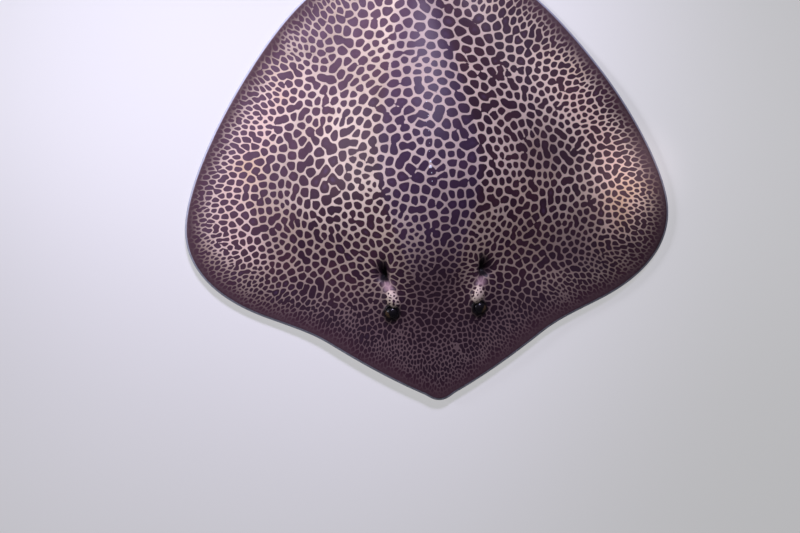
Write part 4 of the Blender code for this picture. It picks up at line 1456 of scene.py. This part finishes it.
@dataclass(frozen=True)
class Lamp:
    """A soft square lamp aimed at a place on the animal; its size is a side in metres."""
    name: str
    place: Point
    size: float
    power: float
    colour: Colour = (1.0, 1.0, 1.0)
    spread: float = math.pi
    aim: Point = (0.0, 0.0, 0.0)

    def hang(self) -> None:
        """Add the lamp, facing its aim."""
        light = bpy.data.lights.new(self.name, "AREA")
        light.shape, light.size, light.spread = "SQUARE", self.size, self.spread
        light.energy, light.color = self.power, self.colour
        lamp = bpy.data.objects.new(self.name, light)
        lamp.location = self.place
        lamp.rotation_euler = (Vector(self.aim) - Vector(self.place)).to_track_quat("-Z", "Y").to_euler()
        bpy.context.scene.collection.objects.link(lamp)


@dataclass
class Studio:
    """Plain pale floor, soft lamps and the camera over the head."""
    floor_size: float = 400.0
    floor_drop: float = 0.0004
    pale: Colour = (0.38, 0.38, 0.38)
    glow: Colour = (0.44, 0.44, 0.445)
    sky: Colour = (0.84, 0.80, 1.0)
    sky_strength: float = 0.10
    lamps: tuple = (
        Lamp("key", (0.3, 2.7, 2.3), 1.3, 6.9, (0.76, 0.69, 1.0), math.radians(18),
             (-0.28, 0.32, 0.0)),
        Lamp("left", (-2.7, 0.8, 1.0), 0.8, 2.9, (0.86, 0.84, 1.0), math.radians(22),
             (-0.22, 0.27, 0.0)),
        Lamp("wing", (1.1, 0.5, 2.2), 0.10, 0.033, (1.0, 0.80, 0.90), math.radians(5),
             (0.42, -0.03, 0.0)))
    camera_place: Point = (-0.1581, -0.2392, 1.9924)
    aim: Point = (-0.0660, -0.1924, 0.0)
    across: float = math.radians(-3.15)
    view_angle: float = math.radians(45.0)

    def lay_floor(self) -> None:
        """Lay the floor just under the belly."""
        half = self.floor_size / 2
        mesh = bpy.data.meshes.new("floor")
        corners = ((-half, -half), (half, -half), (half, half), (-half, half))
        mesh.from_pydata([(x, y, -self.floor_drop) for x, y in corners], [], [(0, 1, 2, 3)])
        paint = Paint("pale_floor", Base_Color=(*self.pale, 1.0), Roughness=0.8,
                      Emission_Color=(*self.glow, 1.0), Emission_Strength=1.0)
        mesh.materials.append(paint.material)
        floor = bpy.data.objects.new("floor", mesh)
        bpy.context.scene.collection.objects.link(floor)

    def light(self) -> None:
        """Hang the lamps and set a soft sky."""
        world = bpy.data.worlds.new("studio")
        world.use_nodes = True
        sky = world.node_tree.nodes["Background"]
        sky.inputs["Color"].default_value = (*self.sky, 1.0)
        sky.inputs["Strength"].default_value = self.sky_strength
        bpy.context.scene.world = world
        for lamp in self.lamps:
            lamp.hang()

    def stand_camera(self) -> None:
        """Place the camera almost straight above, the picture's width turned a little from +X."""
        back = (Vector(self.camera_place) - Vector(self.aim)).normalized()
        level = Vector((math.cos(self.across), math.sin(self.across), 0.0))
        right = (level - back * level.dot(back)).normalized()
        up = back.cross(right)
        lens = bpy.data.cameras.new("camera")
        lens.sensor_fit, lens.angle = "HORIZONTAL", self.view_angle
        lens.clip_end = self.floor_size
        camera = bpy.data.objects.new("camera", lens)
        camera.matrix_world = Matrix((right, up, back)).transposed().to_4x4()
        camera.location = self.camera_place
        bpy.context.scene.collection.objects.link(camera)
        bpy.context.scene.camera = camera
        bpy.context.scene.view_settings.view_transform = "Standard"


def main() -> None:
    """Build the animal piece by piece, then the studio, and note the sizes."""
    logging.basicConfig(level=logging.INFO, format="%(name)s: %(message)s")
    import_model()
    disc, tail = Disc(), Tail()
    Skin(disc, tail, Netting(), Relief()).build(NettedSkin().make())
    Eyes(disc).build(EyeFinish().make())
    Sting(tail, disc).build(Hard.STING.make())
    Thorns(disc).build(Hard.PEARL.make())
    studio = Studio()
    studio.lay_floor()
    studio.light()
    studio.stand_camera()


if __name__ == "__main__":
    main()
